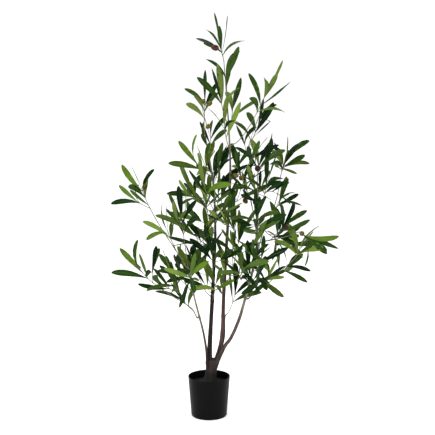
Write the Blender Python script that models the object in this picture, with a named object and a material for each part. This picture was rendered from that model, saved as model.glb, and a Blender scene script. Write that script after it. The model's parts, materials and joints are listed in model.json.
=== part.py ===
"""An artificial olive tree in a plain black pot, in metres with +Z up.

The origin is the middle of the pot's flat underside. Four slim stems leave a short trunk that is set in
cement, and sprays of olive leaves stand on them. Every spray is one solid: a twig, its side shoots, leaves
and fruit, joined. The photographed front of the tree looks along -Y.
"""

from collections import namedtuple
from math import cos, pi, radians, sin

import bmesh
import bpy
import numpy as np
from mathutils.bvhtree import BVHTree

# Pot and the cement in it
POT_HEIGHT = 0.1225
POT_RIM_RADIUS = 0.0635
POT_FOOT_RADIUS = 0.0572
POT_WALL = 0.0022
POT_FLOOR = 0.0035
POT_FOOT_ROUND = 0.0030
POT_STEPS = 32
FILL_TOP = 0.101
GAP = 0.0003

# Trunk: height above the fill, half width and half depth, from its flat cut to the fork
TRUNK_SECTIONS = (
    (0.000, 0.0285, 0.0260),
    (0.007, 0.0225, 0.0205),
    (0.020, 0.0180, 0.0165),
    (0.042, 0.0175, 0.0160),
    (0.066, 0.0210, 0.0185),
)
TRUNK_FOOT_X = 0.001
TRUNK_LEAN = 0.011
TRUNK_SIDES = 16
FORK = FILL_TOP + GAP + TRUNK_SECTIONS[-1][0] + GAP

# Each limb: the limb that carries it and the height where it leaves, then its course
Limb = namedtuple("Limb", "name parent leaves_at course foot_radius tip_radius sides")
LIMBS = (
    Limb("stem_left", None, None, (
        (0.001, 0.001, FORK), (0.003, 0.008, 0.235), (0.010, 0.025, 0.360), (0.019, 0.040, 0.560),
        (0.011, 0.050, 0.715), (-0.014, 0.060, 0.863)), 0.0075, 0.0012, 10),
    Limb("stem_middle", None, None, (
        (0.0205, 0.005, FORK), (0.0325, 0.004, 0.205), (0.0405, -0.001, 0.262), (0.0455, -0.008, 0.400),
        (0.060, -0.020, 0.660), (0.063, -0.020, 0.763), (0.056, -0.014, 0.910), (0.044, -0.005, 1.064)),
        0.0068, 0.0012, 10),
    Limb("stem_right", None, None, (
        (0.024, -0.013, FORK), (0.047, -0.018, 0.218), (0.066, -0.022, 0.246), (0.089, -0.030, 0.302),
        (0.107, -0.040, 0.368), (0.134, -0.050, 0.481), (0.143, -0.055, 0.610), (0.141, -0.050, 0.728)),
        0.0058, 0.0013, 10),
    Limb("stem_outer_left", None, None, (
        (-0.0050, -0.0105, FORK), (-0.0078, -0.0125, 0.204), (-0.0168, -0.0160, 0.260),
        (-0.0314, -0.0235, 0.322), (-0.0440, -0.0300, 0.375), (-0.0590, -0.0400, 0.455),
        (-0.0680, -0.0450, 0.516)), 0.0042, 0.0013, 8),
    Limb("bough_low_left", "stem_outer_left", 0.309, (
        (-0.053, -0.030, 0.339), (-0.094, -0.045, 0.369), (-0.134, -0.060, 0.399)), 0.0020, 0.0012, 6),
    Limb("bough_far_left", "stem_outer_left", 0.462, (
        (-0.082, -0.035, 0.490), (-0.128, -0.020, 0.557), (-0.152, -0.010, 0.594)), 0.0018, 0.0011, 6),
    Limb("bough_low_right", "stem_right", 0.371, (
        (0.133, -0.045, 0.386), (0.174, -0.050, 0.417), (0.215, -0.050, 0.457), (0.250, -0.050, 0.490)),
        0.0020, 0.0011, 6),
    Limb("bough_far_right", "stem_right", 0.538, (
        (0.166, -0.075, 0.547), (0.213, -0.100, 0.561), (0.257, -0.120, 0.580)), 0.0019, 0.0012, 6),
    Limb("bough_upper_right", "stem_right", 0.481, (
        (0.157, -0.020, 0.554), (0.185, 0.010, 0.609), (0.205, 0.030, 0.670), (0.215, 0.040, 0.727)),
        0.0022, 0.0012, 6),
)

# Each spray: its limb, the height where it leaves it (None: from the limb's tip), the end of its twig,
# its leaves, their usual length, the tone of its green and the seed that sets its leaves' chances
Spray = namedtuple("Spray", "name limb leaves_at end leaves leaf_length tone seed")
SPRAYS = (
    Spray("top", "stem_middle", None, (0.036, -0.005, 1.099), 6, 0.104, "dark", 6),
    Spray("leader_high", "stem_middle", 0.955, (0.050, -0.025, 1.022), 4, 0.094, "mid", 10),
    Spray("leader_left", "stem_middle", 0.883, (0.035, -0.045, 0.950), 4, 0.110, "light", 19),
    Spray("leader_right", "stem_middle", 0.871, (0.070, 0.010, 0.925), 4, 0.100, "mid", 4),
    Spray("leader_low", "stem_middle", 0.813, (0.045, -0.050, 0.875), 4, 0.110, "light", 18),
    Spray("left_top", "stem_left", None, (-0.012, 0.060, 0.945), 6, 0.098, "mid", 12),
    Spray("left_top_back", "stem_left", 0.781, (0.005, 0.085, 0.845), 5, 0.096, "dark", 7),
    Spray("left_high_outer", "stem_left", 0.727, (-0.036, 0.010, 0.766), 8, 0.098, "light", 4),
    Spray("inner_high", "stem_left", 0.679, (0.012, 0.085, 0.735), 10, 0.098, "dark", 9),
    Spray("inner_mid", "stem_left", 0.588, (0.028, 0.000, 0.680), 8, 0.100, "dark", 10),
    Spray("left_mid", "stem_left", 0.615, (-0.046, 0.060, 0.668), 8, 0.100, "light", 13),
    Spray("outer_top", "stem_outer_left", None, (-0.078, -0.050, 0.605), 7, 0.104, "dark", 13),
    Spray("far_left_tip", "bough_far_left", None, (-0.200, 0.010, 0.692), 9, 0.100, "mid", 18),
    Spray("far_left_low", "bough_far_left", 0.515, (-0.120, -0.060, 0.575), 5, 0.096, "light", 14),
    Spray("low_left_tip", "bough_low_left", None, (-0.198, -0.075, 0.460), 8, 0.100, "mid", 4),
    Spray("low_left_mid", "bough_low_left", 0.356, (-0.105, -0.070, 0.432), 10, 0.100, "dark", 16),
    Spray("low_left_under", "bough_low_left", 0.333, (-0.075, -0.005, 0.352), 6, 0.090, "mid", 17),
    Spray("low_inner_left", "stem_left", 0.361, (-0.040, -0.030, 0.460), 8, 0.096, "mid", 18),
    Spray("centre_dark", "stem_left", 0.423, (0.010, -0.060, 0.510), 12, 0.100, "dark", 19),
    Spray("centre_light", "stem_left", 0.478, (-0.005, 0.070, 0.545), 7, 0.106, "light", 20),
    Spray("centre_low", "stem_left", 0.350, (0.020, -0.080, 0.420), 8, 0.098, "mid", 48),
    Spray("inner_left", "stem_left", 0.510, (-0.045, 0.000, 0.555), 8, 0.094, "mid", 21),
    Spray("centre_right", "stem_middle", 0.414, (0.088, -0.070, 0.550), 14, 0.098, "light", 22),
    Spray("centre_right_low", "stem_middle", 0.308, (0.080, 0.000, 0.380), 5, 0.110, "dark", 23),
    Spray("right_low_upright", "stem_right", 0.388, (0.130, -0.090, 0.435), 8, 0.110, "dark", 24),
    Spray("right_low_outer", "bough_low_right", 0.404, (0.165, -0.085, 0.432), 6, 0.096, "dark", 25),
    Spray("far_right_low_tip", "bough_low_right", None, (0.262, -0.050, 0.510), 7, 0.100, "light", 14),
    Spray("far_right_low_mid", "bough_low_right", 0.452, (0.235, 0.000, 0.460), 6, 0.096, "mid", 27),
    Spray("far_right_tip", "bough_far_right", None, (0.272, -0.120, 0.570), 5, 0.106, "mid", 4),
    Spray("far_right_inner", "bough_far_right", 0.551, (0.215, -0.060, 0.585), 7, 0.100, "dark", 29),
    Spray("right_mid", "stem_right", 0.537, (0.135, -0.100, 0.610), 12, 0.100, "mid", 30),
    Spray("right_top", "stem_right", None, (0.145, -0.050, 0.765), 8, 0.100, "dark", 31),
    Spray("right_high_left", "stem_right", 0.649, (0.092, -0.010, 0.735), 7, 0.096, "dark", 32),
    Spray("right_high_right", "stem_right", 0.634, (0.165, -0.110, 0.715), 8, 0.096, "dark", 33),
    Spray("upper_right_tip", "bough_upper_right", None, (0.222, 0.030, 0.760), 10, 0.100, "dark", 15),
    Spray("upper_right_mid", "bough_upper_right", 0.633, (0.215, 0.080, 0.640), 5, 0.096, "mid", 35),
    Spray("high_right", "stem_middle", 0.819, (0.162, -0.060, 0.965), 7, 0.110, "light", 6),
    Spray("high_right_back", "stem_middle", 0.746, (0.150, 0.050, 0.885), 8, 0.100, "dark", 37),
    Spray("front_low", "stem_middle", 0.440, (0.102, -0.190, 0.490), 7, 0.100, "mid", 38),
    Spray("back_low", "stem_left", 0.395, (-0.030, 0.200, 0.460), 9, 0.096, "dark", 39),
    Spray("back_mid", "stem_left", 0.549, (-0.010, 0.220, 0.620), 9, 0.096, "mid", 40),
    Spray("front_mid", "stem_middle", 0.586, (-0.005, -0.200, 0.700), 9, 0.096, "light", 41),
    Spray("back_high", "stem_middle", 0.650, (0.115, 0.150, 0.670), 9, 0.096, "dark", 42),
    Spray("front_high", "stem_middle", 0.725, (0.125, -0.150, 0.795), 6, 0.096, "dark", 43),
    Spray("back_right", "bough_upper_right", 0.570, (0.215, 0.085, 0.535), 9, 0.096, "mid", 44),
    Spray("front_left", "stem_outer_left", 0.440, (-0.050, -0.175, 0.465), 7, 0.096, "mid", 45),
    Spray("back_left", "stem_outer_left", 0.380, (-0.095, 0.120, 0.430), 9, 0.096, "dark", 52),
    Spray("front_right", "stem_right", 0.457, (0.145, -0.220, 0.520), 8, 0.096, "dark", 47),
)

# Fruit: the spray, the share along its twig, the turn round the twig in degrees and the size
FruitPlace = namedtuple("FruitPlace", "spray share turn size")
FRUIT_PLACES = (
    FruitPlace("top", 0.97, 190, 1.20),
    FruitPlace("left_top", 0.02, -30, 0.95),
    FruitPlace("left_top", 0.96, -110, 0.95),
    FruitPlace("left_top", 0.88, -30, 1.00),
    FruitPlace("far_left_tip", 0.93, -45, 1.05),
    FruitPlace("right_top", 0.55, -100, 1.20),
    FruitPlace("right_high_left", 0.94, 200, 0.95),
    FruitPlace("right_high_left", 0.80, -100, 0.95),
    FruitPlace("right_high_right", 0.25, 180, 1.15),
    FruitPlace("far_right_tip", 0.25, -90, 1.00),
    FruitPlace("far_right_inner", 0.90, -60, 1.00),
    FruitPlace("back_mid", 0.70, 60, 1.05),
    FruitPlace("back_high", 0.75, 60, 1.05),
    FruitPlace("back_right", 0.75, 80, 1.00),
)

# Twigs and side shoots
COURSE_STEP = 0.045
TWIG_STEP = 0.050
TWIG_FOOT_RADIUS = 0.0014
TWIG_TIP_RADIUS = 0.0009
TWIG_SIDES = 3
SHOOT_LENGTH = 0.050
SHOOT_LEAVES = 3
PAIR_STEP = 0.022
PAIR_TURN = radians(74)
TRIES = 6

# Leaves: share of the length and share of the width at each section between foot and tip
LEAF_SECTIONS = ((0.30, 0.55), (0.66, 1.0), (0.90, 0.76))
LEAF_WIDTH = 0.18
LEAF_THICKNESS = 0.022
LEAF_SUNK = 0.0006
CLEARANCE = 0.0005

# Fruit and its stalk
FRUIT_RADIUS = 0.0074
FRUIT_HALF_LENGTH = 0.0100
FRUIT_STALK = 0.009
FRUIT_LEAN = 65
FRUIT_ROUND = 6
FRUIT_RINGS = 4

# Base colour and roughness of each finish
FINISHES = {
    "black plastic": ((0.0065, 0.0065, 0.0075), 0.45),
    "cement": ((0.014, 0.014, 0.014), 0.90),
    "bark": ((0.053, 0.039, 0.036), 0.80),
    "light": ((0.150, 0.240, 0.060), 0.60),
    "mid": ((0.060, 0.110, 0.030), 0.55),
    "dark": ((0.012, 0.045, 0.012), 0.50),
}


def unit(vector):
    """The vector at length one."""
    return vector / np.linalg.norm(vector)


def smooth_course(points, step):
    """A Catmull-Rom curve through the points, read about every step."""
    points = np.array(points, float)
    padded = np.vstack((2 * points[0] - points[1], points, 2 * points[-1] - points[-2]))
    course = []
    for a, b, c, d in zip(padded, padded[1:], padded[2:], padded[3:]):
        for t in np.linspace(0, 1, max(1, round(np.linalg.norm(c - b) / step)), endpoint=False):
            bent = 2 * b + (c - a) * t + (2 * a - 5 * b + 4 * c - d) * t**2 + (3 * b - a - 3 * c + d) * t**3
            course.append(bent / 2)
    return np.array(course + [points[-1]])


def arched_course(start, outward, end, lift):
    """A Bezier curve that leaves along outward and reaches the end while turning up."""
    reach = np.linalg.norm(end - start)
    arrival = unit(unit(end - start) + np.array((0, 0, lift)))
    handles = (start, start + outward * reach * 0.18, end - arrival * reach * 0.35, end)
    t = np.linspace(0, 1, max(4, round(reach / TWIG_STEP) + 2))[:, None]
    weights = ((1 - t) ** 3, 3 * (1 - t) ** 2 * t, 3 * (1 - t) * t**2, t**3)
    return sum(weight * handle for weight, handle in zip(weights, handles))


def directions(course, first=None):
    """The unit direction at each point of a course."""
    along = np.gradient(course, axis=0)
    if first is not None:
        along[0] = first
    return along / np.linalg.norm(along, axis=1)[:, None]


def tube(course, widths, depths, sides, first=None):
    """A closed tube of round or oval rings along the course: its corners and its faces."""
    along = directions(course, first)
    across = np.array((1.0, 0.0, 0.0)) if abs(along[0][0]) < 0.8 else np.array((0.0, 1.0, 0.0))
    turn = np.arange(sides) * 2 * pi / sides
    corners = []
    for point, ahead, width, depth in zip(course, along, widths, depths):
        across = unit(across - ahead * (across @ ahead))
        deep = np.cross(ahead, across)
        corners.append(point + np.outer(np.cos(turn) * width, across) + np.outer(np.sin(turn) * depth, deep))
    faces = [tuple(range(sides))[::-1]]
    for ring in range(len(course) - 1):
        for side in range(sides):
            low = ring * sides + side
            low_next = ring * sides + (side + 1) % sides
            faces.append((low, low_next, low_next + sides))
            faces.append((low, low_next + sides, low + sides))
    faces.append(tuple(range((len(course) - 1) * sides, len(course) * sides)))
    return np.vstack(corners), faces


def leaf(root, ahead, inward, length, bend, roll, twist, margin=0.0, blade_only=False):
    """A leaf that arches away from inward, its blade rolled round that arc: flat above and keeled below.

    A margin thickens it on every side, and blade_only leaves its narrow foot out.
    """
    shares = np.array([0.0] + [share for share, _ in LEAF_SECTIONS] + [1.0])[:, None]
    widths = np.array([width for _, width in LEAF_SECTIONS])[:, None]
    bent = bend * shares
    path = np.sinc(bent / pi) * ahead - np.sin(bent / 2) * np.sinc(bent / 2 / pi) * inward
    middle = root + length * shares * path
    forward = np.cos(bent) * ahead - np.sin(bent) * inward
    flat_up = np.cos(bent) * inward + np.sin(bent) * ahead
    flat_side = np.cross(forward, flat_up)
    turned = roll + twist * shares
    up = (np.cos(turned) * flat_up + np.sin(turned) * flat_side)[1:-1]
    side = (np.cos(turned) * flat_side - np.sin(turned) * flat_up)[1:-1]
    half = length * LEAF_WIDTH / 2 * widths + margin
    thick = length * LEAF_THICKNESS + margin
    rows = np.stack((
        middle[1:-1] - side * half + up * margin,
        middle[1:-1] + side * half + up * margin,
        middle[1:-1] - up * thick), axis=1).reshape(-1, 3)
    foot = (middle[1] if blade_only else middle[0]) - forward[0] * margin
    corners = np.vstack((foot, rows, middle[-1] + forward[-1] * margin))
    last = len(corners) - 1
    faces = []
    for near, near_to in ((1, 2), (2, 3), (3, 1)):
        faces.append((0, near_to, near))
        for row in range(0, len(rows) - 3, 3):
            faces.append((row + near, row + near_to, row + near_to + 3))
            faces.append((row + near, row + near_to + 3, row + near + 3))
        faces.append((last - 4 + near, last - 4 + near_to, last))
    return corners, faces


def egg(centre, ahead, radius, half_length):
    """An egg-shaped fruit: rings of corners between two poles."""
    side = unit(np.cross(ahead, (0.3, 0.5, 0.8)))
    other = np.cross(ahead, side)
    turn = np.arange(FRUIT_ROUND) * 2 * pi / FRUIT_ROUND
    corners = [centre - ahead * half_length]
    for ring in range(1, FRUIT_RINGS):
        lift = pi * ring / FRUIT_RINGS
        ring_centre = centre - ahead * half_length * cos(lift)
        wide = radius * sin(lift)
        corners.extend(ring_centre + np.outer(np.cos(turn), side) * wide + np.outer(np.sin(turn), other) * wide)
    corners.append(centre + ahead * half_length)
    top = len(corners) - 1
    faces = []
    for k in range(FRUIT_ROUND):
        after = (k + 1) % FRUIT_ROUND
        faces.append((0, 1 + after, 1 + k))
        for ring in range(FRUIT_RINGS - 2):
            low = 1 + ring * FRUIT_ROUND
            faces.append((low + k, low + after, low + after + FRUIT_ROUND))
            faces.append((low + k, low + after + FRUIT_ROUND, low + k + FRUIT_ROUND))
        high = 1 + (FRUIT_RINGS - 2) * FRUIT_ROUND
        faces.append((high + k, high + after, top))
    return np.array(corners), faces


class Space:
    """The space that limbs, twigs, leaves and fruit have taken, and by which solid."""

    def __init__(self):
        self.taken = []

    def claim(self, owner, shape):
        """Take the space of a shape, which is its corners and faces."""
        corners, faces = shape
        centre = corners.mean(axis=0)
        reach = np.linalg.norm(corners - centre, axis=1).max()
        self.taken.append((owner, centre, reach, BVHTree.FromPolygons(corners.tolist(), faces)))

    def is_clear(self, shape, owners=None, beside=None):
        """Whether a shape crosses nothing of the owners given, or of all but the one beside it."""
        corners, faces = shape
        centre = corners.mean(axis=0)
        reach = np.linalg.norm(corners - centre, axis=1).max()
        tree = BVHTree.FromPolygons(corners.tolist(), faces)
        for owner, other_centre, other_reach, other_tree in self.taken:
            if owner == beside or (owners and owner not in owners):
                continue
            if np.linalg.norm(centre - other_centre) > reach + other_reach:
                continue
            if tree.overlap(other_tree):
                return False
        return True


class GrownLimb:
    """A limb's course with its radius, so that other limbs and sprays can leave it."""

    def __init__(self, course, foot_radius, tip_radius):
        self.course = course
        self.radii = np.linspace(foot_radius, tip_radius, len(course))
        self.along = directions(course)

    def leave(self, height, towards):
        """The point 0.3 mm clear of the limb at a height, on the side that faces towards, and that way out."""
        axis_point = np.array([np.interp(height, self.course[:, 2], self.course[:, k]) for k in range(3)])
        ahead = unit(np.array([np.interp(height, self.course[:, 2], self.along[:, k]) for k in range(3)]))
        radius = np.interp(height, self.course[:, 2], self.radii)
        gap = np.array(towards) - axis_point
        outward = unit(gap - ahead * (gap @ ahead))
        return axis_point + outward * (radius + GAP), outward

    def tip(self):
        """The point 0.3 mm past the limb's end, and its direction there."""
        return self.course[-1] + self.along[-1] * GAP, self.along[-1]


def add_mesh(name, shape):
    """A mesh object of the shape's corners and faces."""
    corners, faces = shape
    mesh = bpy.data.meshes.new(name)
    mesh.from_pydata(corners.tolist(), [], faces)
    obj = bpy.data.objects.new(name, mesh)
    bpy.context.scene.collection.objects.link(obj)
    return obj


def dress(obj, finish, sharp_degrees=40):
    """Give the object its own material and smooth shading."""
    colour, roughness = FINISHES[finish]
    material = bpy.data.materials.new(obj.name)
    material.use_nodes = True
    shader = material.node_tree.nodes["Principled BSDF"]
    shader.inputs["Base Color"].default_value = (*colour, 1.0)
    shader.inputs["Roughness"].default_value = roughness
    shader.inputs["Metallic"].default_value = 0.0
    obj.data.materials.clear()
    obj.data.materials.append(material)
    obj.data.shade_smooth()
    obj.data.set_sharp_from_angle(angle=radians(sharp_degrees))


def turned(name, profile, finish):
    """A solid spun round the Z axis from a profile of radius and height that starts and ends on the axis."""
    mesh = bpy.data.meshes.new(name)
    shape = bmesh.new()
    points = [shape.verts.new((radius, 0, height)) for radius, height in profile]
    edges = [shape.edges.new(pair) for pair in zip(points, points[1:])]
    bmesh.ops.spin(
        shape, geom=points + edges, cent=(0, 0, 0), axis=(0, 0, 1), angle=2 * pi, steps=POT_STEPS,
        use_merge=True)
    bmesh.ops.remove_doubles(shape, verts=shape.verts, dist=1e-6)
    bmesh.ops.recalc_face_normals(shape, faces=shape.faces)
    shape.to_mesh(mesh)
    shape.free()
    obj = bpy.data.objects.new(name, mesh)
    bpy.context.scene.collection.objects.link(obj)
    dress(obj, finish, 30)


def pot_radius(height):
    """The pot's outer radius at a height."""
    return POT_FOOT_RADIUS + (POT_RIM_RADIUS - POT_FOOT_RADIUS) * height / POT_HEIGHT


def make_pot():
    """The open pot: flat underside, rounded foot, straight flaring wall, soft rim and solid floor."""
    foot = [
        (POT_FOOT_RADIUS - POT_FOOT_ROUND * (1 - sin(a)), POT_FOOT_ROUND * (1 - cos(a)))
        for a in np.linspace(0, pi / 2, 3)
    ]
    lip = POT_WALL / 2
    rim_centre = pot_radius(POT_HEIGHT) - lip
    rim = [
        (rim_centre + lip * cos(a), POT_HEIGHT - lip + lip * sin(a))
        for a in np.linspace(0, pi, 4)
    ]
    inside = [(pot_radius(POT_FLOOR) - POT_WALL, POT_FLOOR), (0, POT_FLOOR)]
    turned("pot", [(0, 0)] + foot + rim + inside, "black plastic")


def make_fill():
    """The cement plug that fills the pot to below its rim."""
    bottom = POT_FLOOR + GAP
    clear = POT_WALL + 2 * GAP
    profile = [
        (0, bottom), (pot_radius(bottom) - clear, bottom), (pot_radius(FILL_TOP) - clear, FILL_TOP),
        (0, FILL_TOP),
    ]
    turned("fill", profile, "cement")


def make_trunk(space):
    """The short leaning trunk, from its flared foot on the cement to the flat top that the stems leave."""
    rise, widths, depths = np.array(TRUNK_SECTIONS).T
    course = np.column_stack((
        TRUNK_FOOT_X + TRUNK_LEAN * rise / rise[-1], np.zeros(len(rise)), FILL_TOP + GAP + rise))
    upright = np.array((0.0, 0.0, 1.0))
    corners, faces = tube(course, widths, depths, TRUNK_SIDES, upright)
    for ring, height in enumerate(course[:, 2]):
        corners[ring * TRUNK_SIDES:(ring + 1) * TRUNK_SIDES, 2] = height
    space.claim("trunk", (corners, faces))
    dress(add_mesh("trunk", (corners, faces)), "bark")


def make_limb(limb, grown, space):
    """One tapering limb, from the trunk's top or 0.3 mm clear of the limb that carries it."""
    points = [np.array(point) for point in limb.course]
    first = np.array((0.0, 0.0, 1.0))
    if limb.parent:
        start, first = grown[limb.parent].leave(limb.leaves_at, points[0])
        points = [start, start + first * 2 * limb.foot_radius] + points
    course = smooth_course(points, COURSE_STEP)
    grown[limb.name] = GrownLimb(course, limb.foot_radius, limb.tip_radius)
    radii = grown[limb.name].radii
    shape = tube(course, radii, radii, limb.sides, first)
    space.claim(limb.name, shape)
    dress(add_mesh(limb.name, shape), "bark")


class Shoot:
    """A twig: its course, its radius along it and the leaves that it carries."""

    def __init__(self, course, first, foot_radius, leaves):
        self.course = course
        self.along = directions(course, first)
        self.lengths = np.append(0, np.cumsum(np.linalg.norm(np.diff(course, axis=0), axis=1)))
        self.leaves = leaves
        radii = np.linspace(foot_radius, TWIG_TIP_RADIUS, len(course))
        self.shape = tube(course, radii, radii, TWIG_SIDES, first)

    def at(self, share):
        """The point and direction at a share of the shoot's length."""
        run = share * self.lengths[-1]
        point = np.array([np.interp(run, self.lengths, self.course[:, k]) for k in range(3)])
        ahead = unit(np.array([np.interp(run, self.lengths, self.along[:, k]) for k in range(3)]))
        return point, ahead


def round_from(ahead, turn):
    """The direction square to ahead at a turn round it, counted from the side nearest to +X or +Y."""
    side = np.array((1.0, 0.0, 0.0)) if abs(ahead[0]) < 0.8 else np.array((0.0, 1.0, 0.0))
    side = unit(side - ahead * (side @ ahead))
    return cos(turn) * side + sin(turn) * np.cross(ahead, side)


def grow_twig(spray, grown, space):
    """The spray's own twig, which arches from its limb to the spray's end."""
    limb = grown[spray.limb]
    start, outward = limb.tip() if spray.leaves_at is None else limb.leave(spray.leaves_at, spray.end)
    course = arched_course(start, outward, np.array(spray.end), 0.45)
    side_shoots = max(0, (spray.leaves - 5) // SHOOT_LEAVES)
    twig = Shoot(course, outward, TWIG_FOOT_RADIUS, spray.leaves - side_shoots * SHOOT_LEAVES)
    space.claim(spray.name, twig.shape)
    return twig, side_shoots


def grow_side_shoots(name, twig, count, dice, space):
    """Side shoots that fork from the twig on alternate sides, each where its way is clear."""
    shoots = []
    base_turn = dice.uniform(0, 2 * pi)
    for k in range(count):
        start, ahead = twig.at(0.42 + 0.26 * k)
        for attempt in range(TRIES):
            turn = base_turn + pi * k + dice.uniform(-0.5, 0.5) * (1 + attempt)
            lean = radians(dice.uniform(34, 48))
            way = unit(cos(lean) * ahead + sin(lean) * round_from(ahead, turn))
            end = start + way * SHOOT_LENGTH * dice.uniform(0.85, 1.15)
            course = np.linspace(start, end, 3)
            course[1] += np.array((0, 0, -0.002))
            shoot = Shoot(course, way, TWIG_TIP_RADIUS * 1.2, SHOOT_LEAVES)
            if space.is_clear(shoot.shape, beside=name):
                space.claim(name, shoot.shape)
                shoots.append(shoot)
                break
    return shoots


def grow_fruit(name, twig, space):
    """The spray's fruit, each on a short stalk at its place along the twig."""
    shapes = []
    for place in FRUIT_PLACES:
        if place.spray == name:
            start, ahead = twig.at(place.share)
            lean = radians(FRUIT_LEAN)
            way = unit(cos(lean) * ahead + sin(lean) * round_from(ahead, radians(place.turn)))
            end = start + way * FRUIT_STALK
            stalk_radii = np.full(2, TWIG_TIP_RADIUS)
            stalk = tube(np.array((start, end)), stalk_radii, stalk_radii, TWIG_SIDES)
            half = FRUIT_HALF_LENGTH * place.size
            fruit = egg(end + way * half * 0.85, way, FRUIT_RADIUS * place.size, half)
            wide = egg(end + way * half * 0.85, way, FRUIT_RADIUS * place.size + CLEARANCE, half + CLEARANCE)
            if not space.is_clear(wide):
                raise RuntimeError("a fruit of " + name + " has no room")
            space.claim(name, fruit)
            shapes += [stalk, fruit]
    return shapes


def grow_leaves(name, shoot, length, dice, space):
    """Leaves down a shoot: one carries it on, the rest sit in pairs, each pair turned on from the last.

    A leaf is skipped where it would touch a limb, another spray or the blade of a leaf beside it.
    """
    shapes = []
    pairs = shoot.leaves / 2
    step = min(PAIR_STEP / shoot.lengths[-1], 0.7 / pairs)
    base_turn = dice.uniform(0, pi)
    for k in range(shoot.leaves):
        pair = (k - 1) // 2
        share = 1.0 if k == 0 else max(0.2, 1 - step * (pair + 0.5))
        root, ahead = shoot.at(share)
        for attempt in range(TRIES):
            loose = 1 + 0.5 * attempt
            turn = base_turn + pair * PAIR_TURN + pi * (k % 2) + dice.normal(0, 0.22) * loose
            lean = radians(8 if k == 0 else 24 + 7 * pair) + dice.normal(0, 0.12) * loose
            around = round_from(ahead, turn)
            way = unit(cos(lean) * ahead + sin(lean) * around)
            inward = unit(sin(lean) * ahead - cos(lean) * around)
            look = dice.choice((-0.5, -0.5, 0.5)) * pi + dice.normal(0, 0.75)
            facing = np.array((cos(look), sin(look), 0.5))
            roll = np.arctan2(facing @ np.cross(way, inward), facing @ inward)
            size = length * dice.uniform(0.78, 1.12)
            bend = dice.uniform(-0.4, 1.4)
            twist = dice.normal(0, 0.4)
            start = root - way * LEAF_SUNK
            wide = leaf(start, way, inward, size, bend, roll, twist, CLEARANCE)
            blade = leaf(start, way, inward, size, bend, roll, twist, CLEARANCE, blade_only=True)
            if space.is_clear(wide, beside=name) and space.is_clear(blade, owners=(name,)):
                shape = leaf(start, way, inward, size, bend, roll, twist)
                space.claim(name, shape)
                shapes.append(shape)
                break
    return shapes


def joined(name, shapes):
    """One solid from overlapping shapes: a union on a collection, applied, less any loose scrap."""
    obj = add_mesh(name, shapes[0])
    helpers = bpy.data.collections.new(name + " parts")
    for number, shape in enumerate(shapes[1:]):
        piece = add_mesh(f"{name} part {number}", shape)
        bpy.context.scene.collection.objects.unlink(piece)
        helpers.objects.link(piece)
    bpy.context.scene.collection.children.link(helpers)
    union = obj.modifiers.new("Join", "BOOLEAN")
    union.operation = "UNION"
    union.operand_type = "COLLECTION"
    union.collection = helpers
    union.solver = "MANIFOLD"
    graph = bpy.context.evaluated_depsgraph_get()
    whole = bpy.data.meshes.new_from_object(obj.evaluated_get(graph))
    obj.modifiers.remove(union)
    obj.data = whole
    for piece in list(helpers.objects):
        bpy.data.objects.remove(piece)
    bpy.data.collections.remove(helpers)
    drop_scraps(whole)
    return obj


def drop_scraps(mesh):
    """Keep only the largest connected piece of the mesh."""
    shape = bmesh.new()
    shape.from_mesh(mesh)
    left = set(shape.verts)
    pieces = []
    while left:
        piece = {left.pop()}
        edge_of_piece = list(piece)
        while edge_of_piece:
            vert = edge_of_piece.pop()
            near = {edge.other_vert(vert) for edge in vert.link_edges} & left
            left -= near
            piece |= near
            edge_of_piece += near
        pieces.append(piece)
    scraps = sorted(pieces, key=len)[:-1]
    bmesh.ops.delete(shape, geom=[vert for piece in scraps for vert in piece], context="VERTS")
    shape.to_mesh(mesh)
    shape.free()


def make_sprays(grown, space):
    """Every spray: first all the twigs, then the fruit, then side shoots and leaves, so that none is crossed."""
    twigs = {spray.name: grow_twig(spray, grown, space) for spray in SPRAYS}
    fruit = {spray.name: grow_fruit(spray.name, twigs[spray.name][0], space) for spray in SPRAYS}
    for spray in SPRAYS:
        dice = np.random.default_rng(spray.seed)
        twig, side_shoots = twigs[spray.name]
        shoots = grow_side_shoots(spray.name, twig, side_shoots, dice, space)
        leaves = []
        for shoot in [twig] + shoots:
            leaves += grow_leaves(spray.name, shoot, spray.leaf_length, dice, space)
        shapes = [twig.shape] + [shoot.shape for shoot in shoots] + fruit[spray.name] + leaves
        dress(joined("spray_" + spray.name, shapes), spray.tone)


def main():
    """Clear the scene and build the tree."""
    for obj in list(bpy.data.objects):
        bpy.data.objects.remove(obj)
    make_pot()
    make_fill()
    space = Space()
    make_trunk(space)
    grown = {}
    for limb in LIMBS:
        make_limb(limb, grown, space)
    make_sprays(grown, space)


main()
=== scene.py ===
"""Looks of an artificial olive tree in a plain black pot, in metres with +Z up.

The tree grows by the same seeded rule as its solids: twigs leave the limbs, side shoots leave the twigs, and
leaves sit on them in turned pairs, each skipped where it would touch something. Finer shoots then fill each
spray within its own reach. The pot, the bark, the twigs, the leaves and the fruit are surfaces worked out on
grids of two parameters, or rings carried along those courses.
"""

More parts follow.
